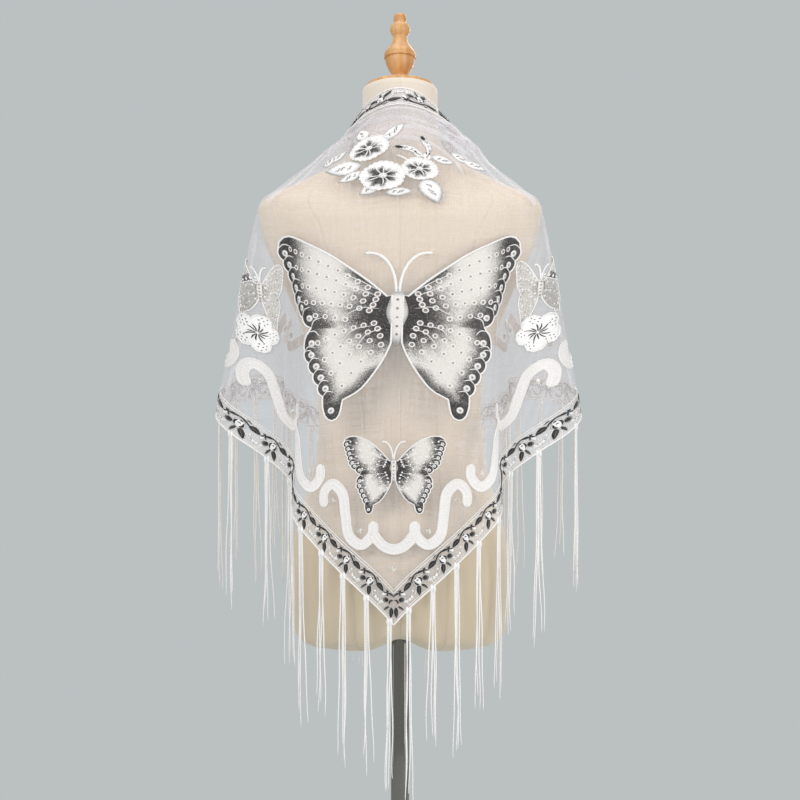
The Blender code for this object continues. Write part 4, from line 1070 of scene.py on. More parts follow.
def hem_place(side, start, stretch):
    """From along and up on a short edge's band to across and up on the flat cloth."""
    def place(along, up):
        left = EDGE_LENGTH - (start + along * stretch)
        return side * (left - up) / math.sqrt(2), -(HALF_LENGTH - (left + up) / math.sqrt(2))
    return place


def neck_place(start, stretch):
    """The same on the long edge's band, where up is away from the edge."""
    def place(along, up):
        return start + along * stretch, -up
    return place


def edge_run(place, first, last, up, step=0.004):
    """A line along a band at one height, as flat points."""
    along = np.linspace(first, last, max(2, round((last - first) / step)))
    return np.stack(place(along, np.full(len(along), up)), axis=1)


def corner_reach(up):
    """How far from a front corner a band keeps to its own side of the mitre."""
    return up * (1 + math.sqrt(2)) + MITRE_CLEARANCE


def band_ground(work, place, first, last):
    """The band's net: a thin slab between its edges, cut to the mitre at each end."""
    ups = np.linspace(0.0005, TRIM_WIDTH, NET_ROWS)
    shares = np.linspace(0, 1, NET_COLUMNS)
    flat = np.concatenate([np.stack(place(first(up) + (last(up) - first(up)) * shares,
                                          np.full(len(shares), up)), axis=1) for up in ups])
    count = len(flat)
    columns = len(shares)
    cells = []
    for row in range(len(ups) - 1):
        for column in range(columns - 1):
            a = row * columns + column
            cells.append(turned_left((a, a + 1, a + columns + 1, a + columns), flat))
    lifts = np.repeat([LAID, LAID - NET_WALL], count)
    both = np.vstack([flat, flat])
    work.add(np.column_stack([both, lifts]), slab_faces(cells, count), THREADS["white"], 0.0, 1)


def build_hem_band(name, side, node):
    work = FlatWork()
    pitch = EDGE_LENGTH / HEM_REPEATS
    for k in range(HEM_REPEATS):
        start = (k + 0.5) * pitch
        work.stamp(REPEAT, hem_place(side, start, pitch / REPEAT_LENGTH),
                   lambda x, y: corner_reach(y) < start + x < EDGE_LENGTH - y - MITRE_CLEARANCE)
    whole = hem_place(side, 0.0, 1.0)
    band_ground(work, whole, corner_reach, lambda up: EDGE_LENGTH - up - 0.0003)
    for up, radius, colour in HEM_CORDS:
        first = corner_reach(up) if up > 0.002 else 0.002
        work.cord(edge_run(whole, first, EDGE_LENGTH - up, up), radius, LAID - CORD_SINK, colour)
    item = work.lay(name, (rayon, net))
    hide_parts(node)
    return item


def build_neck_band():
    work = FlatWork()
    pitch = 2 * HALF_LENGTH / NECK_REPEATS
    for k in range(NECK_REPEATS):
        start = (k + 0.5) * pitch - HALF_LENGTH
        work.stamp(REPEAT, neck_place(start, pitch / REPEAT_LENGTH),
                   lambda x, y: abs(start + x) < HALF_LENGTH - corner_reach(y))
    whole = neck_place(0.0, 1.0)
    band_ground(work, whole, lambda up: corner_reach(up) - HALF_LENGTH,
                lambda up: HALF_LENGTH - corner_reach(up))
    for up, radius, colour in NECK_CORDS:
        reach = HALF_LENGTH - corner_reach(up)
        work.cord(edge_run(whole, -reach, reach, up), radius, LAID - CORD_SINK, colour)
    item = work.lay("band_neck", (rayon, net))
    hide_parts("trim_neck")
    return item


BANDS = [build_hem_band("band_left", -1, "trim_left"), build_hem_band("band_right", 1, "trim_right"),
         build_neck_band()]

# %% [markdown]
# ## The scroll braid
# Above the hem runs a flat corded braid in scrolls, each with a knob, a round foot, a rise and a
# hook. Its section is a thin web between two edge cords, with a line of stitches down the middle.

# %% Braid
SCROLL = ((-0.0175, 0.0300), (-0.0155, 0.0120), (0.0000, 0.0000), (0.0165, 0.0150), (0.0200, 0.0440),
          (0.0225, 0.0710), (0.0360, 0.0860), (0.0500, 0.0760), (0.0520, 0.0560))
SCROLL_FOOT = (0.0455, 0.6330)
SCROLL_PITCH = (0.0710, -0.0845)
SCROLLS_PER_SIDE = 6
CENTRE_ARC = ((-0.0285, -0.6175), (-0.0225, -0.6290), (-0.0120, -0.6388), (0.0000, -0.6420),
              (0.0120, -0.6388), (0.0225, -0.6290), (0.0285, -0.6175))
BRAID_HALF_WIDTH = 0.0073
BRAID_SECTION = (
    # share of the half-width, lift
    (1.0, 0.0), (0.97, 0.0010), (0.86, 0.0016), (0.72, 0.0011), (0.35, 0.0012), (0.0, 0.0013),
    (-0.35, 0.0012), (-0.72, 0.0011), (-0.86, 0.0016), (-0.97, 0.0010), (-1.0, 0.0),
)
STITCH_PITCH = 0.0042


def add_braid(work, path, count, lift=0.0):
    path = smooth_path(path, count)
    work.braid(path, BRAID_HALF_WIDTH, LAID - 0.0003 + lift, "braid", BRAID_SECTION)
    length = np.linalg.norm(np.diff(path, axis=0), axis=1).sum()
    marks = smooth_path(path, max(3, round(length / STITCH_PITCH)))
    for mark in marks[1:-1]:
        work.lens(oval(0.0014, 0.0012, 7), LAID + 0.0008 + lift, 0.0008, "white", mark)


def scroll_foot(index):
    """A scroll's foot, across and down from the long edge."""
    return np.array(SCROLL_FOOT) + index * np.array(SCROLL_PITCH)


def build_scrolls(side, name):
    work = FlatWork()
    for index in range(SCROLLS_PER_SIDE):
        foot = scroll_foot(index)
        path = (np.array(SCROLL) + (foot[0], -foot[1])) * (side, 1)
        add_braid(work, path, 64)
    item = work.lay(name, (rayon,))
    nodes = [f"scroll_{'left' if side < 0 else 'right'}_{index + 1}" for index in range(SCROLLS_PER_SIDE)]
    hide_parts(*nodes)
    return item


centre_work = FlatWork()
add_braid(centre_work, CENTRE_ARC, 40, 0.0003)
centre_braid = centre_work.lay("braid_centre", (rayon,))
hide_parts("scroll_centre")
BRAIDS = [build_scrolls(-1, "braid_left"), build_scrolls(1, "braid_right"), centre_braid]

# %% [markdown]
# ## The butterflies
# Each butterfly is cut from printed satin. It has a corded white outline, cords between the lobes of
# its margin, veins, rows of eyelets, a sequin in each lobe with its glint painted in greys, and a
# padded body. The small ones have fewer and bolder details.

# %% Butterfly tables
ANTENNA_ROOT = (0.002, 0.034)
ANTENNA_TIP = (0.032, 0.090)
LEADING_EDGE = ((0.012, 0.029), (0.042, 0.064), (0.072, 0.094), (0.100, 0.111), (0.123, 0.117),
                (0.140, 0.112), (0.1470, 0.100))
FORE_MARGIN = ((0.1470, 0.100), (0.1290, 0.025), (0.1010, -0.004))
HIND_MARGIN = ((0.1050, -0.010), (0.1135, -0.036), (0.0900, -0.098))
MARGINS = (
    # start, end, how many lobes, length of the cords between them
    (*FORE_MARGIN[:2], 5, 0.022),
    (*FORE_MARGIN[1:], 2, 0.020),
    (*HIND_MARGIN[:2], 1, 0.015),
    (*HIND_MARGIN[1:], 4, 0.016),
)
TAIL = ((0.0900, -0.098), (0.0905, -0.113), (0.0865, -0.127), (0.0770, -0.132), (0.0680, -0.125),
        (0.0630, -0.105))
TAIL_PEARL = (0.0790, -0.118)
INNER_EDGE = ((0.0630, -0.105), (0.0420, -0.094), (0.0235, -0.070), (0.0125, -0.050), (0.0065, -0.034))
SCALLOP_HEIGHT = 0.0035
LOBE_ROUNDNESS = 0.6
WING_ROOT = (0.006, 0.004)
BODY_PROFILE = ((0.037, 0.0030), (0.034, 0.0068), (0.028, 0.0078), (0.021, 0.0098), (0.012, 0.0122),
                (0.003, 0.0122), (-0.005, 0.0096), (-0.012, 0.0070), (-0.018, 0.0058), (-0.026, 0.0062),
                (-0.033, 0.0048), (-0.037, 0.0020))
EYELET_ROWS = (
    # first and last place, how many, how far the row bows up
    ((0.022, 0.033), (0.126, 0.100), 11, 0.012),
    ((0.024, 0.026), (0.119, 0.076), 10, 0.010),
    ((0.027, 0.019), (0.111, 0.052), 9, 0.007),
    ((0.031, 0.012), (0.106, 0.030), 8, 0.005),
    ((0.058, 0.004), (0.094, 0.012), 4, 0.001),
    ((0.026, -0.006), (0.094, -0.025), 7, 0.004),
    ((0.022, -0.014), (0.086, -0.048), 7, 0.005),
    ((0.019, -0.024), (0.078, -0.067), 6, 0.006),
    ((0.018, -0.036), (0.064, -0.086), 5, 0.005),
)
FLAP_BORDER = ((0.006, 0.046), (0.124, -0.010))
WHOLE_WING = (1.0, 1.0)
OUTER_WING = (0.78, 0.84)
INNER_WING = (0.55, 1.0)
VEINS = (
    ((0.021, 0.038), (0.040, 0.054), (0.062, 0.070)),
    ((0.020, 0.029), (0.042, 0.043), (0.068, 0.056)),
    ((0.020, 0.013), (0.040, 0.017), (0.064, 0.006)),
    ((0.016, -0.014), (0.034, -0.020), (0.047, -0.036)),
    ((0.028, -0.009), (0.048, -0.011), (0.060, -0.022)),
    ((0.084, -0.016), (0.079, -0.026), (0.083, -0.038)),
    ((0.076, -0.042), (0.071, -0.052), (0.073, -0.062)),
)


# %% Butterfly drawing
def margin_line(start, end):
    """A margin's start, its run from start to end, and one unit outwards."""
    along = np.subtract(end, start)
    return np.array(start), along, np.array([-along[1], along[0]]) / np.linalg.norm(along)


def scallops(start, end, count, detail):
    """Shallow lobes from start to end, bulging outwards."""
    start, along, outward = margin_line(start, end)
    step = np.arange(count * detail + 1)
    bulge = np.abs(np.sin(math.pi * step / detail)) ** LOBE_ROUNDNESS
    return start + along * (step / (count * detail))[:, None] + outward * (SCALLOP_HEIGHT * bulge)[:, None]


def wing_outline(detail):
    return np.vstack([
        [(0.0065, 0.030)],
        smooth_path(LEADING_EDGE, 3 * detail)[:-1],
        *[scallops(start, end, count, detail)[:-1] for start, end, count, _ in MARGINS[:2]],
        [FORE_MARGIN[-1]],
        *[scallops(start, end, count, detail)[:-1] for start, end, count, _ in MARGINS[2:]],
        smooth_path(TAIL, 2 * detail)[:-1],
        smooth_path(INNER_EDGE, 2 * detail),
        [(0.0062, -0.020), (0.0058, 0.005)],
    ])


def wing_print(points, pale):
    """How dark the print is at points of a right wing: at its root, its margins and its tail."""
    x, y = points.T
    root = np.hypot(x - WING_ROOT[0], y - WING_ROOT[1])
    angle = np.arctan2(y - WING_ROOT[1], x - WING_ROOT[0])
    streak = 1 + 0.05 * np.sin(17 * angle) + 0.03 * np.sin(41 * angle + 1)
    fore = y > -0.006
    lead = distance_to_line(points, LEADING_EDGE)
    inner = distance_to_line(points, INNER_EDGE)
    margin = np.where(fore, distance_to_line(points, FORE_MARGIN), distance_to_line(points, HIND_MARGIN))
    at_root = fade(root * streak, 0.022, 0.082)
    at_margin = np.where(fore, fade(margin * streak, 0.008, 0.050), fade(margin * streak, 0.004, 0.036))
    at_tip = fade(np.hypot(x - 0.138, y - 0.104), 0.012, 0.056)
    at_lead = 0.9 * fade(lead, 0.002, 0.018) * fade(root, 0.066, 0.104)
    at_inner = 0.9 * fade(inner, 0.000, 0.022) * fade(y, -0.074, -0.052)
    at_tail = fade(y, -0.112, -0.094)
    if pale:
        return np.maximum.reduce([0.45 * at_root, 0.47 * at_margin, 0.4 * at_tail, 0.33 + 0 * x])
    return 0.97 * np.maximum.reduce([at_root, at_margin, at_tip, at_lead, at_inner, at_tail])


def flap_print(points):
    """The outer wing of a side butterfly: pale, with a dark dotted border across its tip."""
    x, y = points.T
    (x0, y0), (x1, y1) = FLAP_BORDER
    above = ((y - y0) * (x1 - x0) - (x - x0) * (y1 - y0)) / math.hypot(x1 - x0, y1 - y0)
    border = np.where(above > 0, fade(above, 0.024, 0.034), 0.0)
    plain = 0.32 + 0.14 * fade(above, -0.05, 0.03)
    return np.maximum(0.97 * border * fade(-above, -0.001, 0.001), plain)


def lobe_middles(start, end, count, inset):
    """A point in the middle of each lobe of a margin, moved in from its edge."""
    start, along, outward = margin_line(start, end)
    share = (np.arange(count) + 0.5) / count
    return start + along * share[:, None] - outward * inset


def lobe_cords(start, end, count, length):
    """Curved cords that run in from each notch between lobes."""
    start, along, outward = margin_line(start, end)
    ahead = along / np.linalg.norm(along)
    inward = -outward
    cords = []
    for k in range(count + 1):
        notch = start + along * k / count
        cords.append(np.array([notch, notch + inward * 0.5 * length - ahead * 0.0035,
                               notch + inward * length + ahead * 0.001]))
    return cords


def rising_arc(root, tip, count):
    """A quarter of an ellipse that leaves its root straight up and is level at its tip."""
    angle = np.linspace(0, math.pi / 2, count)
    return np.array(root) + np.subtract(tip, root) * np.column_stack([1 - np.cos(angle), np.sin(angle)])


SATIN_WALL = 0.0005
BORDER_DOTS = (0.06, 0.25, 0.44, 0.63, 0.82)
BODY_EYELETS = (0.024, 0.012, 0.000, -0.012, -0.023)


def draw_butterfly(scale, detail, spacing, pale):
    """The whole butterfly about its middle. Cords and eyelets are thinned less than the shape.

    `pale` is 0 for a dark butterfly. A pale one gives the side of its bordered wing, -1 or 1.
    """
    work = FlatWork()
    fine = 0.35 + 0.65 * scale
    large = scale > 0.9
    base = LAID
    top = base + SATIN_WALL
    seat = top - 0.0001
    outline = wing_outline(detail)
    rows = EYELET_ROWS if scale > 0.4 else EYELET_ROWS[::2]
    for side in (-1, 1):
        bordered = pale == side
        wing = WHOLE_WING if not pale else OUTER_WING if bordered else INNER_WING
        flip = np.array((side, 1)) * wing * scale

        def shading(points):
            return flap_print(points / flip) if bordered else wing_print(points / flip, bool(pale))

        work.panel(outline * flip, base, SATIN_WALL, spacing, shading)
        work.cord(outline * flip, 0.00125 * fine, base, "white", closed=True)
        for cord in [cord for margin in MARGINS for cord in lobe_cords(*margin)]:
            work.cord(smooth_path(cord * flip, 9), 0.0008 * fine, top - 0.0002, "white", sides=5,
                      taper=True)
        for vein in VEINS:
            work.cord(smooth_path(np.array(vein) * flip, 10), 0.0006 * fine, top - 0.0002, "white", sides=5,
                      taper=True)
        if bordered:
            border = np.array(FLAP_BORDER) * flip
            work.cord(smooth_path(border, 12), 0.0008, top - 0.0002, "white", sides=5)
            for share in BORDER_DOTS:
                middle = border[0] + (border[1] - border[0]) * share + np.array((0.0, 0.012)) * flip
                work.lens(oval(0.0021, 0.0018, 9), top, 0.0008, "white", middle)
        for first, last, count, bow in rows:
            count = count if large else max(3, round(0.62 * count))
            share = np.linspace(0, 1, count)
            across = np.array(first) + (np.array(last) - first) * share[:, None]
            across[:, 1] += bow * np.sin(math.pi * share)
            sizes = 0.0041 - 0.0004 * np.sin(math.pi * share)
            for place, size in zip(across * flip, sizes * (fine if large else 0.95 * fine)):
                if large:
                    work.eyelet(place, size, seat)
                else:
                    work.lens(oval(0.62 * size, 0.62 * size, 7), seat, 0.0004, "white", place)
        pearls = np.vstack([*[lobe_middles(*margin[:3], 0.0075) for margin in MARGINS], [TAIL_PEARL]])
        for place in pearls * flip:
            size = 0.0046 * scale + 0.0005
            work.lens(oval(size, 0.95 * size, 12), seat, 0.0009, "white", place, -20 * side)
            # The sequin in each ring has its glint painted: a pale grey oval with a grey centre stands for
            # the light in its facets.
            work.lens(oval(0.55 * size, 0.45 * size, 8), top + 0.0006, 0.0005, "painted_glint_grey", place, -40 * side)
            work.lens(oval(0.22 * size, 0.20 * size, 6), top + 0.0009, 0.0004, "grey", place, -40 * side)
        feeler = rising_arc(ANTENNA_ROOT, ANTENNA_TIP, 16) * flip
        work.cord(feeler, 0.0018 * fine, base - 0.0003, "white")
        work.lens(oval(0.0030 * fine, 0.0026 * fine, 10), base, 0.0026 * fine, "white", feeler[-1])
    profile = np.array(BODY_PROFILE)
    right = np.column_stack([profile[:, 1], profile[:, 0]])
    body = smooth_path(np.vstack([right, (right * (-1, 1))[::-1]]), 60) * scale
    work.lens(body, top, 0.0028 * fine, "cream")
    for up in BODY_EYELETS:
        dot = oval(0.0018 * fine, 0.0018 * fine, 8)
        work.lens(dot, top + 0.0026 * fine, 0.0003, "hole", (0.0, up * scale))
    for up in np.linspace(0.020, -0.002, 7):
        for across in (-0.0086, 0.0086):
            place = (across * scale, up * scale)
            work.lens(oval(0.0006, 0.0006, 6), top + 0.0022 * fine, 0.0005, "grey", place)
    return work


# %% Lay the butterflies
BUTTERFLIES = {
    # node: s, t, scale, steps of each lobe, grid, side of the bordered wing, turn
    "butterfly_large": (0.0, 0.330, 1.00, 6, 0.0026, 0, 0),
    "butterfly_small": (0.0, 0.536, 0.43, 5, 0.0017, 0, 0),
    "butterfly_side_left": (-0.187, 0.286, 0.37, 4, 0.0017, -1, -15),
    "butterfly_side_right": (0.187, 0.281, 0.37, 4, 0.0017, 1, 15),
}
for node, (s, t, scale, detail, spacing, pale, turn) in BUTTERFLIES.items():
    drawing = draw_butterfly(scale, detail, spacing, pale)
    drawing.turn(turn)
    item = drawing.lay(node.replace("butterfly", "moth_sewn"), (rayon, satin), (s, t))
    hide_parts(node)

# %% [markdown]
# ## The flowers
# Below each side butterfly a white flower of five lobes is sewn over its lower wings, with small
# eyelets in the lobes and dark stitches round its heart. At the nape a spray of blooms, leaves and
# buds has a print that spreads from each heart between white veins.

# %% Side flowers
FLOWER_RADIUS = 0.025
OVER_BUTTERFLY = LAID + 0.0022
PETAL_EYELETS = (
    # share of the radius, angle from the petal's middle
    (0.86, -0.13), (0.90, 0.13), (0.72, -0.26), (0.74, 0.0), (0.72, 0.27), (0.56, -0.18), (0.57, 0.19),
)


def draw_flower(turn):
    work = FlatWork()
    steps = 70
    angle = np.arange(steps) * 2 * math.pi / steps
    lobe = 1 - 0.28 * (1 - np.abs(np.sin(2.5 * angle)) ** LOBE_ROUNDNESS) + 0.02 * np.cos(20 * angle)
    rim = turned(np.stack([np.sin(angle), np.cos(angle)], axis=1) * (FLOWER_RADIUS * lobe)[:, None], turn)
    work.panel(rim, OVER_BUTTERFLY, 0.0008, 0.004, colour="white")
    work.cord(rim, 0.0009, OVER_BUTTERFLY, "white", closed=True)
    for petal in range(5):
        middle = 36 + 72 * petal + turn
        for out, aside in PETAL_EYELETS:
            ray = math.radians(middle) + aside
            place = np.array((math.sin(ray), math.cos(ray))) * out * FLOWER_RADIUS
            work.lens(oval(0.0010, 0.0010, 7), OVER_BUTTERFLY + 0.0007, 0.0003, "grey", place)
    for stroke in range(12):
        ray = math.radians(30 * stroke + 8 * math.sin(3.1 * stroke) + turn)
        reach = FLOWER_RADIUS * (0.46 + 0.08 * math.sin(2.3 * stroke))
        ends = np.array([(math.sin(ray + 0.10), math.cos(ray + 0.10)), (math.sin(ray), math.cos(ray)),
                         (math.sin(ray - 0.14), math.cos(ray - 0.14))])
        ends = ends * np.array([0.12 * reach, 0.6 * reach, reach])[:, None]
        work.cord(smooth_path(ends, 6), 0.0007, OVER_BUTTERFLY + 0.0006, "black", sides=5, taper=True)
    return work


for node, (s, t), turn in (("flower_left", (-0.206, 0.339), 0), ("flower_right", (0.203, 0.337), 9)):
    item = draw_flower(turn).lay(node.replace("flower", "lace_flower"), (rayon, satin), (s, t))
    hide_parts(node)


# %% Blooms and leaves of the spray
def draw_bloom(work, middle, radius, squash, turn, base, dark):
    """An open bloom with a toothed edge, white veins, a print round its heart and painted shade where its
    petals meet.
    """
    middle = np.array(middle)
    steps = 96
    angle = np.arange(steps) * 2 * math.pi / steps
    reach = radius * (0.90 + 0.08 * np.abs(np.sin(2.5 * angle)) ** 0.5 + 0.035 * np.sin(24 * angle))
    rim = np.stack([np.cos(angle), squash * np.sin(angle)], axis=1) * reach[:, None]

    def heart_print_and_join_shade(points):
        local = turned(points - middle, -turn) / (1, squash)
        out = np.hypot(local[:, 0], local[:, 1]) / radius
        around = np.arctan2(local[:, 1], local[:, 0])
        wedge = 0.5 + 0.5 * np.cos(8 * around + 1.2 * np.sin(2 * around + turn))
        uneven = 0.10 * np.sin(around + 0.7) + 0.07 * np.sin(3 * around + turn)
        heart = dark * fade(out + 0.20 * wedge + uneven, 0.40, 0.96) * (1 - fade(out, 0.06, 0.14))
        # Faint grey at the petal joins, towards the rim, is painted shade between the petals.
        petal = np.abs(np.sin(2.5 * around))
        return np.maximum(heart, 0.16 * fade(petal, 0.0, 0.35) * (1 - fade(out, 0.4, 0.7)))

    work.panel(turned(rim, turn) + middle, base, 0.0007, 0.0016, heart_print_and_join_shade, "white")
    work.cord(turned(rim, turn) + middle, 0.0007, base + 0.0002, "white", closed=True, sides=5)
    for vein in range(8):
        ray = vein * math.pi / 4 + 0.2 * math.sin(2.7 * vein + turn)
        reach = 0.76 + 0.12 * math.sin(1.9 * vein)
        ends = np.array([(math.cos(ray + bend) * r, squash * math.sin(ray + bend) * r)
                         for r, bend in ((0.12, 0.0), (0.45, 0.10), (reach, 0.0))])
        path = turned(smooth_path(ends, 7) * radius, turn) + middle
        work.cord(path, 0.0007, base + 0.0005, "white", sides=5, taper=True)
    work.lens(oval(0.20 * radius, 0.20 * radius * squash, 12), base + 0.0006, 0.0014, "white", middle, turn)
    for k in range(4):
        ray = k * math.pi / 2 + 0.4
        place = middle + 0.08 * radius * np.array((math.cos(ray), math.sin(ray)))
        work.lens(oval(0.0005, 0.0005, 6), base + 0.0017, 0.0005, "hole", place)


def draw_leaf(work, middle, length, width, turn, base, tip):
    """A white toothed leaf with a few grey stitches down its middle, and a black end if `tip` says so."""
    middle = np.array(middle)
    rim = leaf(length, width, 12)
    teeth = 1 + 0.10 * (np.arange(len(rim)) % 2)
    rim = (rim - (length / 2, 0)) * np.column_stack([np.ones(len(rim)), teeth])
    work.lens(rim, base, 0.0008, "white", middle, turn)
    for k, along in enumerate((-0.16, 0.0, 0.14)):
        bit = np.array([(along - 0.06, -0.05), (along, 0.05 * (-1) ** k), (along + 0.06, 0.04)]) * length
        work.cord(turned(bit, turn) + middle, 0.0004, base + 0.0010, "grey", sides=4)
    if tip == "black":
        end = middle + turned(np.array([(0.24 * length, 0.0)]), turn)[0]
        work.lens(oval(0.15 * length, 0.26 * width, 8), base + 0.0008, 0.0006, "black", end, turn)


SPRAYS = {
    "spray_left": {
        # middle across and up from the flat cloth's long edge, then sizes and turn
        "blooms": (((-0.0304, -0.0938), 0.0205, 0.80, 20, 1.0),
                   ((-0.0166, -0.1359), 0.0225, 0.90, -15, 1.0)),
        "leaves": (((-0.0392, -0.0697), 0.022, 0.015, 115, "white"),
                   ((-0.0060, -0.0745), 0.034, 0.012, 48, "white"),
                   ((-0.0560, -0.1170), 0.040, 0.021, 186, "white"),
                   ((-0.0480, -0.1310), 0.028, 0.012, 205, "white"),
                   ((-0.0010, -0.1590), 0.028, 0.012, 4, "white"),
                   ((-0.0300, -0.1520), 0.022, 0.015, 215, "white"),
                   ((-0.0650, -0.0970), 0.024, 0.010, 38, "white"),
                   ((-0.0740, -0.1030), 0.020, 0.009, 60, "white")),
        "stems": (((-0.004, -0.108), (0.003, -0.112), (0.010, -0.118)),
                  ((-0.020, -0.082), (-0.012, -0.078), (-0.004, -0.072))),
    },
    "spray_right": {
        "blooms": (((0.0190, -0.1259), 0.0180, 0.86, 10, 0.9),),
        "leaves": (((0.0300, -0.1540), 0.038, 0.022, -68, "white"),
                   ((0.0425, -0.1080), 0.026, 0.011, -8, "white"),
                   ((0.0620, -0.1010), 0.026, 0.010, -34, "white"),
                   ((0.0780, -0.1100), 0.030, 0.012, -22, "white"),
                   ((0.0250, -0.0880), 0.026, 0.0075, 116, "black"),
                   ((0.0060, -0.0985), 0.030, 0.0075, 168, "black"),
                   ((0.0170, -0.1050), 0.014, 0.009, 150, "black"),
                   ((0.0265, -0.1060), 0.014, 0.009, 80, "black")),
        "stems": (((0.018, -0.112), (0.014, -0.104), (0.002, -0.0985)),
                  ((0.024, -0.112), (0.027, -0.100), (0.022, -0.080))),
    },
}
for node, parts in SPRAYS.items():
    work = FlatWork()
    for path in parts["stems"]:
        work.cord(smooth_path(path, 10), 0.0012, LAID, "white", taper=True)
    for middle, length, width, turn, tip in parts["leaves"]:
        draw_leaf(work, middle, length, width, turn, LAID, tip)
    for k, (middle, radius, squash, turn, dark) in enumerate(parts["blooms"]):
        draw_bloom(work, middle, radius, squash, turn, LAID + 0.0008 + 0.0006 * k, dark)
    item = work.lay(node.replace("spray", "bloom"), (rayon, satin))
    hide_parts(node)

# %% [markdown]
# ## Tucks in the veil
# Where the cloth is gathered at the nape and turns over the shoulders, it lies in narrow tucks. A tuck
# is the same sheer cloth lying double, so it shows as a whiter line. Each is a thin curved strip on
# the sheet, placed along the gathers and down the side flutes.

# %% Lay the tucks
TUCKS = (
    # width, then places as azimuth and distance down the fall line
    (0.0045, ((-66, 0.046), (-40, 0.042), (0, 0.040), (36, 0.043), (64, 0.048))),
    (0.0060, ((-70, 0.058), (-34, 0.053), (8, 0.054), (40, 0.060), (66, 0.066))),
    (0.0050, ((-20, 0.070), (16, 0.068), (44, 0.078), (58, 0.094))),
    (0.0060, ((22, 0.044), (42, 0.052), (56, 0.066), (62, 0.088))),
    (0.0070, ((34, 0.040), (50, 0.047), (62, 0.058), (70, 0.078))),
    (0.0060, ((10, 0.062), (32, 0.068), (48, 0.084), (54, 0.108))),
    (0.0060, ((-24, 0.046), (-44, 0.056), (-58, 0.072), (-62, 0.094))),
    (0.0060, ((-6, 0.082), (24, 0.086), (42, 0.104), (46, 0.128))),
    (0.0090, ((-82, 0.050), (-77, 0.085), (-74, 0.130), (-76, 0.185))),
    (0.0070, ((-70, 0.062), (-66, 0.100), (-68, 0.150))),
    (0.0090, ((80, 0.050), (76, 0.090), (75, 0.140), (78, 0.190))),
    (0.0075, ((68, 0.060), (64, 0.095), (67, 0.150))),
    (0.0070, ((-89, 0.050), (-90, 0.180), (-90, 0.300), (-89, 0.470))),
    (0.0070, ((89, 0.050), (90, 0.180), (90, 0.300), (89, 0.475))),
    (0.0050, ((-63, 0.260), (-62, 0.360), (-61, 0.480))),
    (0.0050, ((62, 0.250), (61, 0.350), (60, 0.490))),
    (0.0060, ((-80, 0.230), (-79, 0.340), (-81, 0.460))),
    (0.0060, ((83, 0.220), (81, 0.330), (83, 0.450))),
    (0.0060, ((-104, 0.240), (-103, 0.330), (-105, 0.420))),
    (0.0060, ((103, 0.230), (105, 0.320), (104, 0.420))),
    (0.0070, ((-128, 0.060), (-127, 0.180), (-128, 0.330))),
    (0.0070, ((128, 0.060), (128, 0.190), (127, 0.330))),
    (0.0050, ((-96, 0.060), (-112, 0.090), (-126, 0.140))),
    (0.0050, ((96, 0.060), (110, 0.095), (124, 0.150))),
)
TUCK_SECTION = ((1.0, 0.0001), (0.6, 0.0007), (0.0, 0.0009), (-0.6, 0.0006), (-1.0, 0.0001))
TUCK_LIFT = 0.0002

tuck_cloth, tree, shader = new_finish("doubled_organza", Base_Color=linear("#F8F6FC"), Roughness=0.5,
                                      Sheen_Weight=0.6, Sheen_Roughness=0.35)
place = add_node(tree, "ShaderNodeTexCoord")
cloudy = add_node(tree, "ShaderNodeTexNoise", {"Scale": 60.0, "Detail": 2.0}, {"Vector": (place, "Object")})
thick = add_node(tree, "ShaderNodeMapRange",
                 {"From Min": 0.3, "From Max": 0.7, "To Min": 0.10, "To Max": 0.26}, {"Value": (cloudy, 0)})
tree.links.new(thick.outputs[0], shader.inputs["Alpha"])
tuck_work = FlatWork()
for width, places in TUCKS:
    line = smooth_path(places, 40)
    start, lean = fall_line(np.abs(line[:, 0]))
    across = np.sign(line[:, 0]) * (start + line[:, 1] * np.sin(lean))
    along = np.stack([across, -line[:, 1] * np.cos(lean)], axis=1)
    tuck_work.braid(along, width / 2, TUCK_LIFT, "white", TUCK_SECTION)
tucks = tuck_work.lay("cloth_tucks", (tuck_cloth,))

# %% [markdown]
# ## The fringe
# Every 46 mm a bundle of thick rayon threads is looped through the hem with a lark's-head knot. Four
# ends hang from each knot, in two pairs, and drift apart below. They hang plumb, and where the form's
# hips are in their way they lie against them and fall on from there.

# %% Threads and knots
FRINGE_LENGTH = 0.255
LONGEST_STRAND = 0.268
KNOTS = 22
FIRST_KNOT = {"left": 0.010, "right": 0.032}
STRANDS = (-0.0024, -0.0009, 0.0009, 0.0024)
STRAND_RADIUS = 0.00092
STRAND_MIDDLE = 0.0008
STRAND_TIP = 0.0005
STRAND_STATIONS = 26
STRAND_SIDES = 6
HIP_CLEARANCE = 0.0022
KNOT_RINGS = 7
KNOT_SPREAD = 0.0020
KNOT_RISE = 0.004
KNOT_LENGTH = 0.011
KNOT_RADIUS = 0.0024


def hang_strand(root, ahead, aside, length, drift, phase):
    """The middle line of one strand, pushed out wherever the form is in its way."""
    share = np.linspace(0, 1, STRAND_STATIONS)
    line = root - np.outer(share * length, (0, 0, 1))
    wave = 0.0016 * np.sin(5.2 * share + phase) * share + 0.0008 * np.sin(13.0 * share + 2 * phase) * share
    line = line + np.outer(aside + drift * share ** 1.3 + wave, ahead)
    pushed = 0.0
    for k, point in enumerate(line):
        near, normal, _, _ = BODY_TREE.find_nearest(Vector(point), 0.12)
        radial = np.array((point[0], point[1], 0.0)) / max(math.hypot(point[0], point[1]), 1e-6)
        if near is not None:
            apart = (Vector(point) + Vector(radial) * pushed - near).dot(normal)
            outward = max(0.35, float(np.array(normal) @ radial))
            if apart < HIP_CLEARANCE:
                pushed += (HIP_CLEARANCE - apart) / outward
        line[k] = point + radial * pushed
    return line


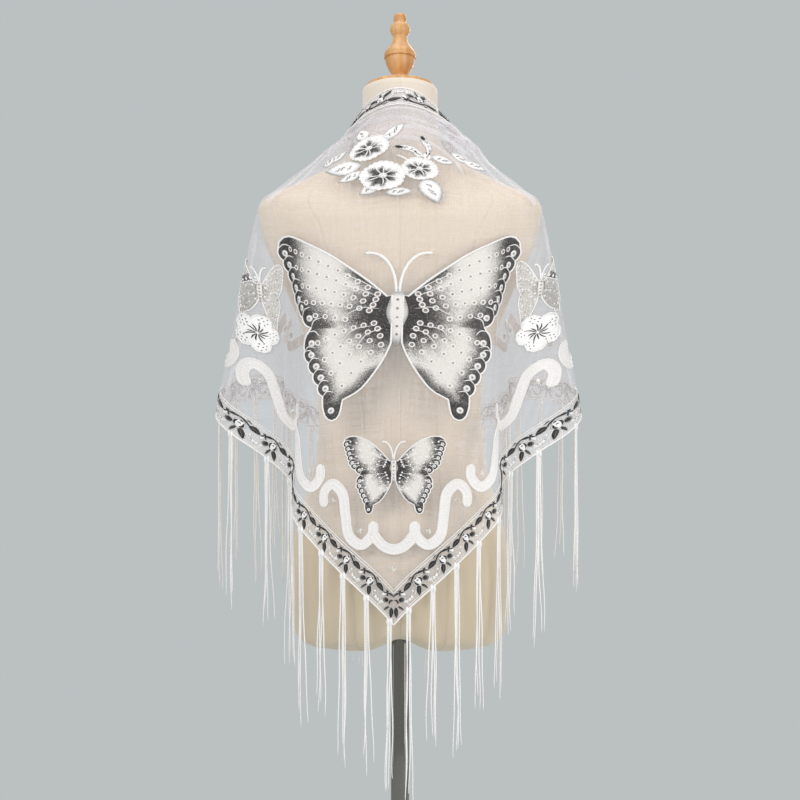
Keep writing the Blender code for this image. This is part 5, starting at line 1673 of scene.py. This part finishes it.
def tube(line, radii, sides):
    """A round thread along a line that hangs down, as points and faces."""
    angle = np.arange(sides) * 2 * math.pi / sides
    circle = np.stack([np.cos(angle), np.sin(angle), np.zeros(sides)], axis=1)
    points = (line[:, None] + radii[:, None, None] * circle).reshape(-1, 3)
    faces = []
    for i in range(len(line) - 1):
        for k in range(sides):
            after = (k + 1) % sides
            faces.append((i * sides + k, (i + 1) * sides + k, (i + 1) * sides + after, i * sides + after))
    faces.append(tuple(range(sides)))
    faces.append(tuple(range((len(line) - 1) * sides, len(line) * sides))[::-1])
    return points, faces


def knot_shape(root, ahead):
    """A lark's-head knot: two soft turns of thread side by side over the hem's cord."""
    points = []
    faces = []
    for side in (-1, 1):
        share = np.linspace(0, 1, KNOT_RINGS)
        middle = (root + np.outer(np.full(KNOT_RINGS, side * KNOT_SPREAD), ahead)
                  + np.outer(KNOT_RISE - KNOT_LENGTH * share, (0, 0, 1)))
        radii = KNOT_RADIUS * (0.35 + 0.65 * np.sin(math.pi * np.clip(share * 0.9 + 0.08, 0, 1)))
        more, cells = tube(middle, radii, 8)
        first = sum(len(part) for part in points)
        faces += [tuple(k + first for k in cell) for cell in cells]
        points.append(more)
    return np.concatenate(points), faces


def build_fringe(name, side, first):
    place = hem_place(side, 0.0, 1.0)
    pitch = (EDGE_LENGTH - first) / KNOTS
    points = []
    faces = []
    total = 0
    radii = np.interp(np.linspace(0, 1, STRAND_STATIONS), (0, 0.7, 1),
                      (STRAND_RADIUS, STRAND_MIDDLE, STRAND_TIP))
    for knot in range(KNOTS):
        along = EDGE_LENGTH - (first + knot * pitch)
        x, y = place(np.array([along - 0.004, along, along + 0.004]), np.full(3, 0.0004))
        near = DRAPE.at_flat(x, -y, LAID)
        root = near[1]
        ahead = (near[2] - near[0]) * (1, 1, 0)
        ahead = ahead / np.linalg.norm(ahead)
        parts = [knot_shape(root, ahead)]
        for number, aside in enumerate(STRANDS):
            seed = 1.7 * knot + 2.9 * number + (0.8 if side > 0 else 0.0)
            length = FRINGE_LENGTH * (0.90 + 0.11 * math.sin(2.1 * seed) + 0.05 * math.sin(5.3 * seed))
            drift = 0.7 * aside + 0.0065 * math.sin(1.3 * seed) * (1 if number % 2 else 0.7)
            line = hang_strand(root, ahead, aside, min(length, LONGEST_STRAND), drift, seed)
            parts.append(tube(line, radii, STRAND_SIDES))
        for more, cells in parts:
            faces += [tuple(k + total for k in cell) for cell in cells]
            points.append(more)
            total += len(more)
    item = mesh_object(f"threads_{name}", np.concatenate(points), faces)
    layer = item.data.color_attributes.new("thread", "FLOAT_COLOR", "POINT")
    layer.data.foreach_set("color", np.tile(THREADS["white"] + [1.0], total))
    item.data.materials.append(rayon)
    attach(item, "root")
    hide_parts(f"fringe_{name}")
    print(item.name, KNOTS * len(STRANDS), "strands")
    return item


FRINGES = [build_fringe("left", -1, FIRST_KNOT["left"]), build_fringe("right", 1, FIRST_KNOT["right"])]

# %% [markdown]
# ## Rhinestones
# Flat-backed rhinestones of about 8 mm are sewn in the bowls and hooks of the scrolls. Each is a short
# eight-sided cylinder whose top is drawn in twice, which gives its crown and its table.

# %% One stone
STONE_RADIUS = 0.0038
bpy.ops.mesh.primitive_cylinder_add(vertices=8, radius=STONE_RADIUS, depth=0.0008, location=(0, 0, 0.0004))
stone = bpy.context.active_object
bpy.ops.object.mode_set(mode="EDIT")
bpy.ops.mesh.select_all(action="DESELECT")
shape = bmesh.from_edit_mesh(stone.data)
for face in shape.faces:
    face.select = face.calc_center_median().z > 0.0007
bmesh.update_edit_mesh(stone.data)
bpy.ops.mesh.extrude_region_move(TRANSFORM_OT_translate={"value": (0, 0, 0.0008)})
bpy.ops.transform.resize(value=(0.84, 0.84, 1))
bpy.ops.transform.rotate(value=math.radians(22.5), orient_axis="Z", center_override=(0, 0, 0))
bpy.ops.mesh.extrude_region_move(TRANSFORM_OT_translate={"value": (0, 0, 0.0008)})
bpy.ops.transform.resize(value=(0.62, 0.62, 1))
bpy.ops.object.mode_set(mode="OBJECT")
print("one stone has", len(stone.data.polygons), "faces")

# %% Set the stones
foiled, tree, shader = new_finish("foiled_crystal", Roughness=0.06, Metallic=0.0, Coat_Weight=0.6,
                                  Coat_Roughness=0.03)
place = add_node(tree, "ShaderNodeTexCoord")
# The stones' base colour is painted glints: Voronoi cells of dark and bright stand for the light caught in
# their facets.
glint = add_node(tree, "ShaderNodeTexVoronoi", {"Scale": 330.0}, {"Vector": (place, "Object")})
painted_glints = add_node(tree, "ShaderNodeMix", {6: linear("#8F867A"), 7: linear("#FFFCF6")},
                {0: (glint, "Distance")}, data_type="RGBA")
tree.links.new(painted_glints.outputs[2], shader.inputs["Base Color"])
STONE_PLACES = [(0.0, 0.668)]
for side in (-1, 1):
    for index in range(SCROLLS_PER_SIDE):
        foot = scroll_foot(index)
        STONE_PLACES.append((side * (foot[0] + 0.001), foot[1] - 0.0190))
        STONE_PLACES.append((side * (foot[0] + 0.0365), foot[1] - 0.0640))
copies = []
for number, (s, t) in enumerate(STONE_PLACES):
    at = Vector(DRAPE.at_flat(np.array([s]), np.array([t]), SHEET_WALL / 2 + 0.0001)[0])
    out = (Vector(DRAPE.at_flat(np.array([s]), np.array([t]), 0.01)[0]) - at).normalized()
    copy = bpy.data.objects.new(f"stone_{number}", stone.data.copy())
    copy.data.transform(Matrix.Translation(at) @ out.to_track_quat("Z", "Y").to_matrix().to_4x4())
    bpy.context.scene.collection.objects.link(copy)
    copies.append(copy)
bpy.data.objects.remove(stone)
bpy.ops.object.select_all(action="DESELECT")
for copy in copies:
    copy.select_set(True)
bpy.context.view_layer.objects.active = copies[0]
bpy.ops.object.join()
STONES = bpy.context.active_object
STONES.name = "rhinestones"
STONES.data.materials.append(foiled)
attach(STONES, "root")
print("stones", len(STONE_PLACES))

# %% [markdown]
# ## The cap, the finial and the stand
# The neck is closed by a turned disc of pale beech with a finial on it, both lacquered. They are
# built as a turner sees them: a circle is drawn out and resized ring by ring along the profile.

# %% Turned pieces
FINIAL_PROFILE = (
    # radius, height above the cap
    (0.0108, 0.0000), (0.0106, 0.0040), (0.0100, 0.0110), (0.0098, 0.0165), (0.0113, 0.0186),
    (0.0143, 0.0228), (0.0172, 0.0280), (0.0194, 0.0332), (0.0205, 0.0385), (0.0206, 0.0412),
    (0.0199, 0.0419), (0.0222, 0.0428), (0.0225, 0.0465), (0.0221, 0.0490), (0.0208, 0.0518),
    (0.0182, 0.0556), (0.0148, 0.0600), (0.0123, 0.0647), (0.0108, 0.0695), (0.0099, 0.0740),
    (0.0098, 0.0762), (0.0114, 0.0780), (0.0130, 0.0808), (0.0140, 0.0840), (0.0142, 0.0865),
    (0.0138, 0.0893), (0.0124, 0.0922), (0.0104, 0.0944), (0.0093, 0.0956), (0.0091, 0.0990),
    (0.0091, 0.1030), (0.0088, 0.1050), (0.0080, 0.1070), (0.0066, 0.1086), (0.0044, 0.1097),
    (0.0018, 0.1102),
)
CAP_PROFILE = ((0.0473, 0.0), (0.0482, 0.0005), (0.0485, 0.0012), (0.0485, 0.0050), (0.0482, 0.0057),
               (0.0473, 0.0062), (0.0462, 0.0062), (0.0300, 0.0062))
BASE_PROFILE = (
    (0.1590, 0.0000), (0.1598, 0.0010), (0.1600, 0.0030), (0.1590, 0.0052), (0.1540, 0.0070),
    (0.1400, 0.0086), (0.1250, 0.0100), (0.0760, 0.0114), (0.0300, 0.0130), (0.0240, 0.0142),
    (0.0200, 0.0170), (0.0200, 0.0300), (0.0194, 0.0314), (0.0180, 0.0320), (0.0120, 0.0320),
)


def turn_piece(name, profile, sides, seat, tilt):
    """Draw a circle out along a profile of radius and height, then tip it about its seat."""
    radius, height = profile[0]
    bpy.ops.mesh.primitive_circle_add(vertices=sides, radius=radius, fill_type="NGON",
                                      location=(seat[0], seat[1], seat[2] + height))
    item = bpy.context.active_object
    item.name = name
    bpy.ops.object.transform_apply(location=True, rotation=True, scale=True)
    bpy.ops.object.mode_set(mode="EDIT")
    bpy.ops.mesh.select_all(action="SELECT")
    for wanted, level in profile[1:]:
        bpy.ops.mesh.extrude_region_move(TRANSFORM_OT_translate={"value": (0, 0, level - height)})
        scale = wanted / radius
        bpy.ops.transform.resize(value=(scale, scale, 1), center_override=(seat[0], seat[1], seat[2] + level))
        radius = wanted
        height = level
    bpy.ops.mesh.select_all(action="SELECT")
    bpy.ops.mesh.normals_make_consistent(inside=False)
    if tilt:
        bpy.ops.transform.rotate(value=tilt, orient_axis="X", center_override=seat)
    bpy.ops.object.mode_set(mode="OBJECT")
    bpy.ops.object.shade_smooth_by_angle(angle=math.radians(40))
    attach(item, "root")
    return item


_, _, _, _, NECK_FORWARD, NECK_TIP = TORSO[-1]
NECK_SEAT = (0.0, NECK_FORWARD, TORSO[-1][0])
NECK_TILT = math.atan(NECK_TIP)
SEAM_GAP = 0.0003
CAP_THICKNESS = 0.0062
HEAD_SIDES = 64
cap = turn_piece("cap_disc", [(radius, height + SEAM_GAP) for radius, height in CAP_PROFILE], HEAD_SIDES,
                 NECK_SEAT, NECK_TILT)
finial = turn_piece("turned_finial", [(radius, height + 2 * SEAM_GAP + CAP_THICKNESS)
                                      for radius, height in FINIAL_PROFILE], 40, NECK_SEAT, NECK_TILT)
for item in (cap, finial):
    print(item.name, [round(value, 4) for value in item.dimensions])

# %% Beech finish
beech, tree, shader = new_finish("lacquered_beech", Roughness=0.42, Coat_Weight=0.2, Coat_Roughness=0.22)
place = add_node(tree, "ShaderNodeTexCoord")
stretch = add_node(tree, "ShaderNodeMapping", {"Scale": (160.0, 160.0, 14.0)}, {"Vector": (place, "Object")})
grain = add_node(tree, "ShaderNodeTexNoise", {"Scale": 1.0, "Detail": 4.0}, {"Vector": (stretch, 0)})
wide = add_node(tree, "ShaderNodeMapping", {"Scale": (30.0, 30.0, 5.0)}, {"Vector": (place, "Object")})
figure = add_node(tree, "ShaderNodeTexNoise", {"Scale": 1.0, "Detail": 2.0}, {"Vector": (wide, 0)})
mixed = add_node(tree, "ShaderNodeMath", links={0: (grain, 0), 1: (figure, 0)}, operation="ADD")
share = add_node(tree, "ShaderNodeMapRange", {"From Min": 0.75, "From Max": 1.25}, {"Value": (mixed, 0)})
wood = add_node(tree, "ShaderNodeMix", {6: linear("#BF8248"), 7: linear("#E0B075")},
                {0: (share, 0)}, data_type="RGBA")
tree.links.new(wood.outputs[2], shader.inputs["Base Color"])
for item, node in ((cap, "neck_cap"), (finial, "finial")):
    item.data.materials.append(beech)
    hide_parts(node)

# %% [markdown]
# ### Pole and foot
# The pole is chromed steel tube with a telescopic joint, and stands in a round foot that the picture
# doesn't show. Chrome shows the grey room in long upright bands.

# %% Pole and foot
POLE_FOOT = 0.0323
SOCKET_DEPTH = 0.060
POLE_TOP = TORSO[0][0] + ARCH_HEIGHT + SOCKET_DEPTH - SEAM_GAP
POLE_PROFILE = (
    (0.0118, POLE_FOOT), (0.0128, POLE_FOOT + 0.001), (0.0128, 0.4300), (0.0124, 0.4306), (0.0124, 0.4322),
    (0.0128, 0.4328), (0.0128, 0.7000), (0.0128, POLE_TOP - 0.001), (0.0118, POLE_TOP),
)
ORIGIN = (0.0, 0.0, 0.0)
pole = turn_piece("chrome_pole", POLE_PROFILE, 48, ORIGIN, 0.0)
foot = turn_piece("round_foot", BASE_PROFILE, 96, ORIGIN, 0.0)
chrome, tree, shader = new_finish("chromed_steel", Base_Color=linear("#7E7B77"), Roughness=0.12, Metallic=1.0)
place = add_node(tree, "ShaderNodeTexCoord")
wear = add_node(tree, "ShaderNodeTexNoise", {"Scale": 40.0, "Detail": 3.0}, {"Vector": (place, "Object")})
polish = add_node(tree, "ShaderNodeMapRange", {"To Min": 0.06, "To Max": 0.20}, {"Value": (wear, 0)})
tree.links.new(polish.outputs[0], shader.inputs["Roughness"])
for item, node in ((pole, "stand_pole"), (foot, "stand_base")):
    item.data.materials.append(chrome)
    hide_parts(node)
print("pole", round(POLE_FOOT, 4), "to", round(POLE_TOP, 4))
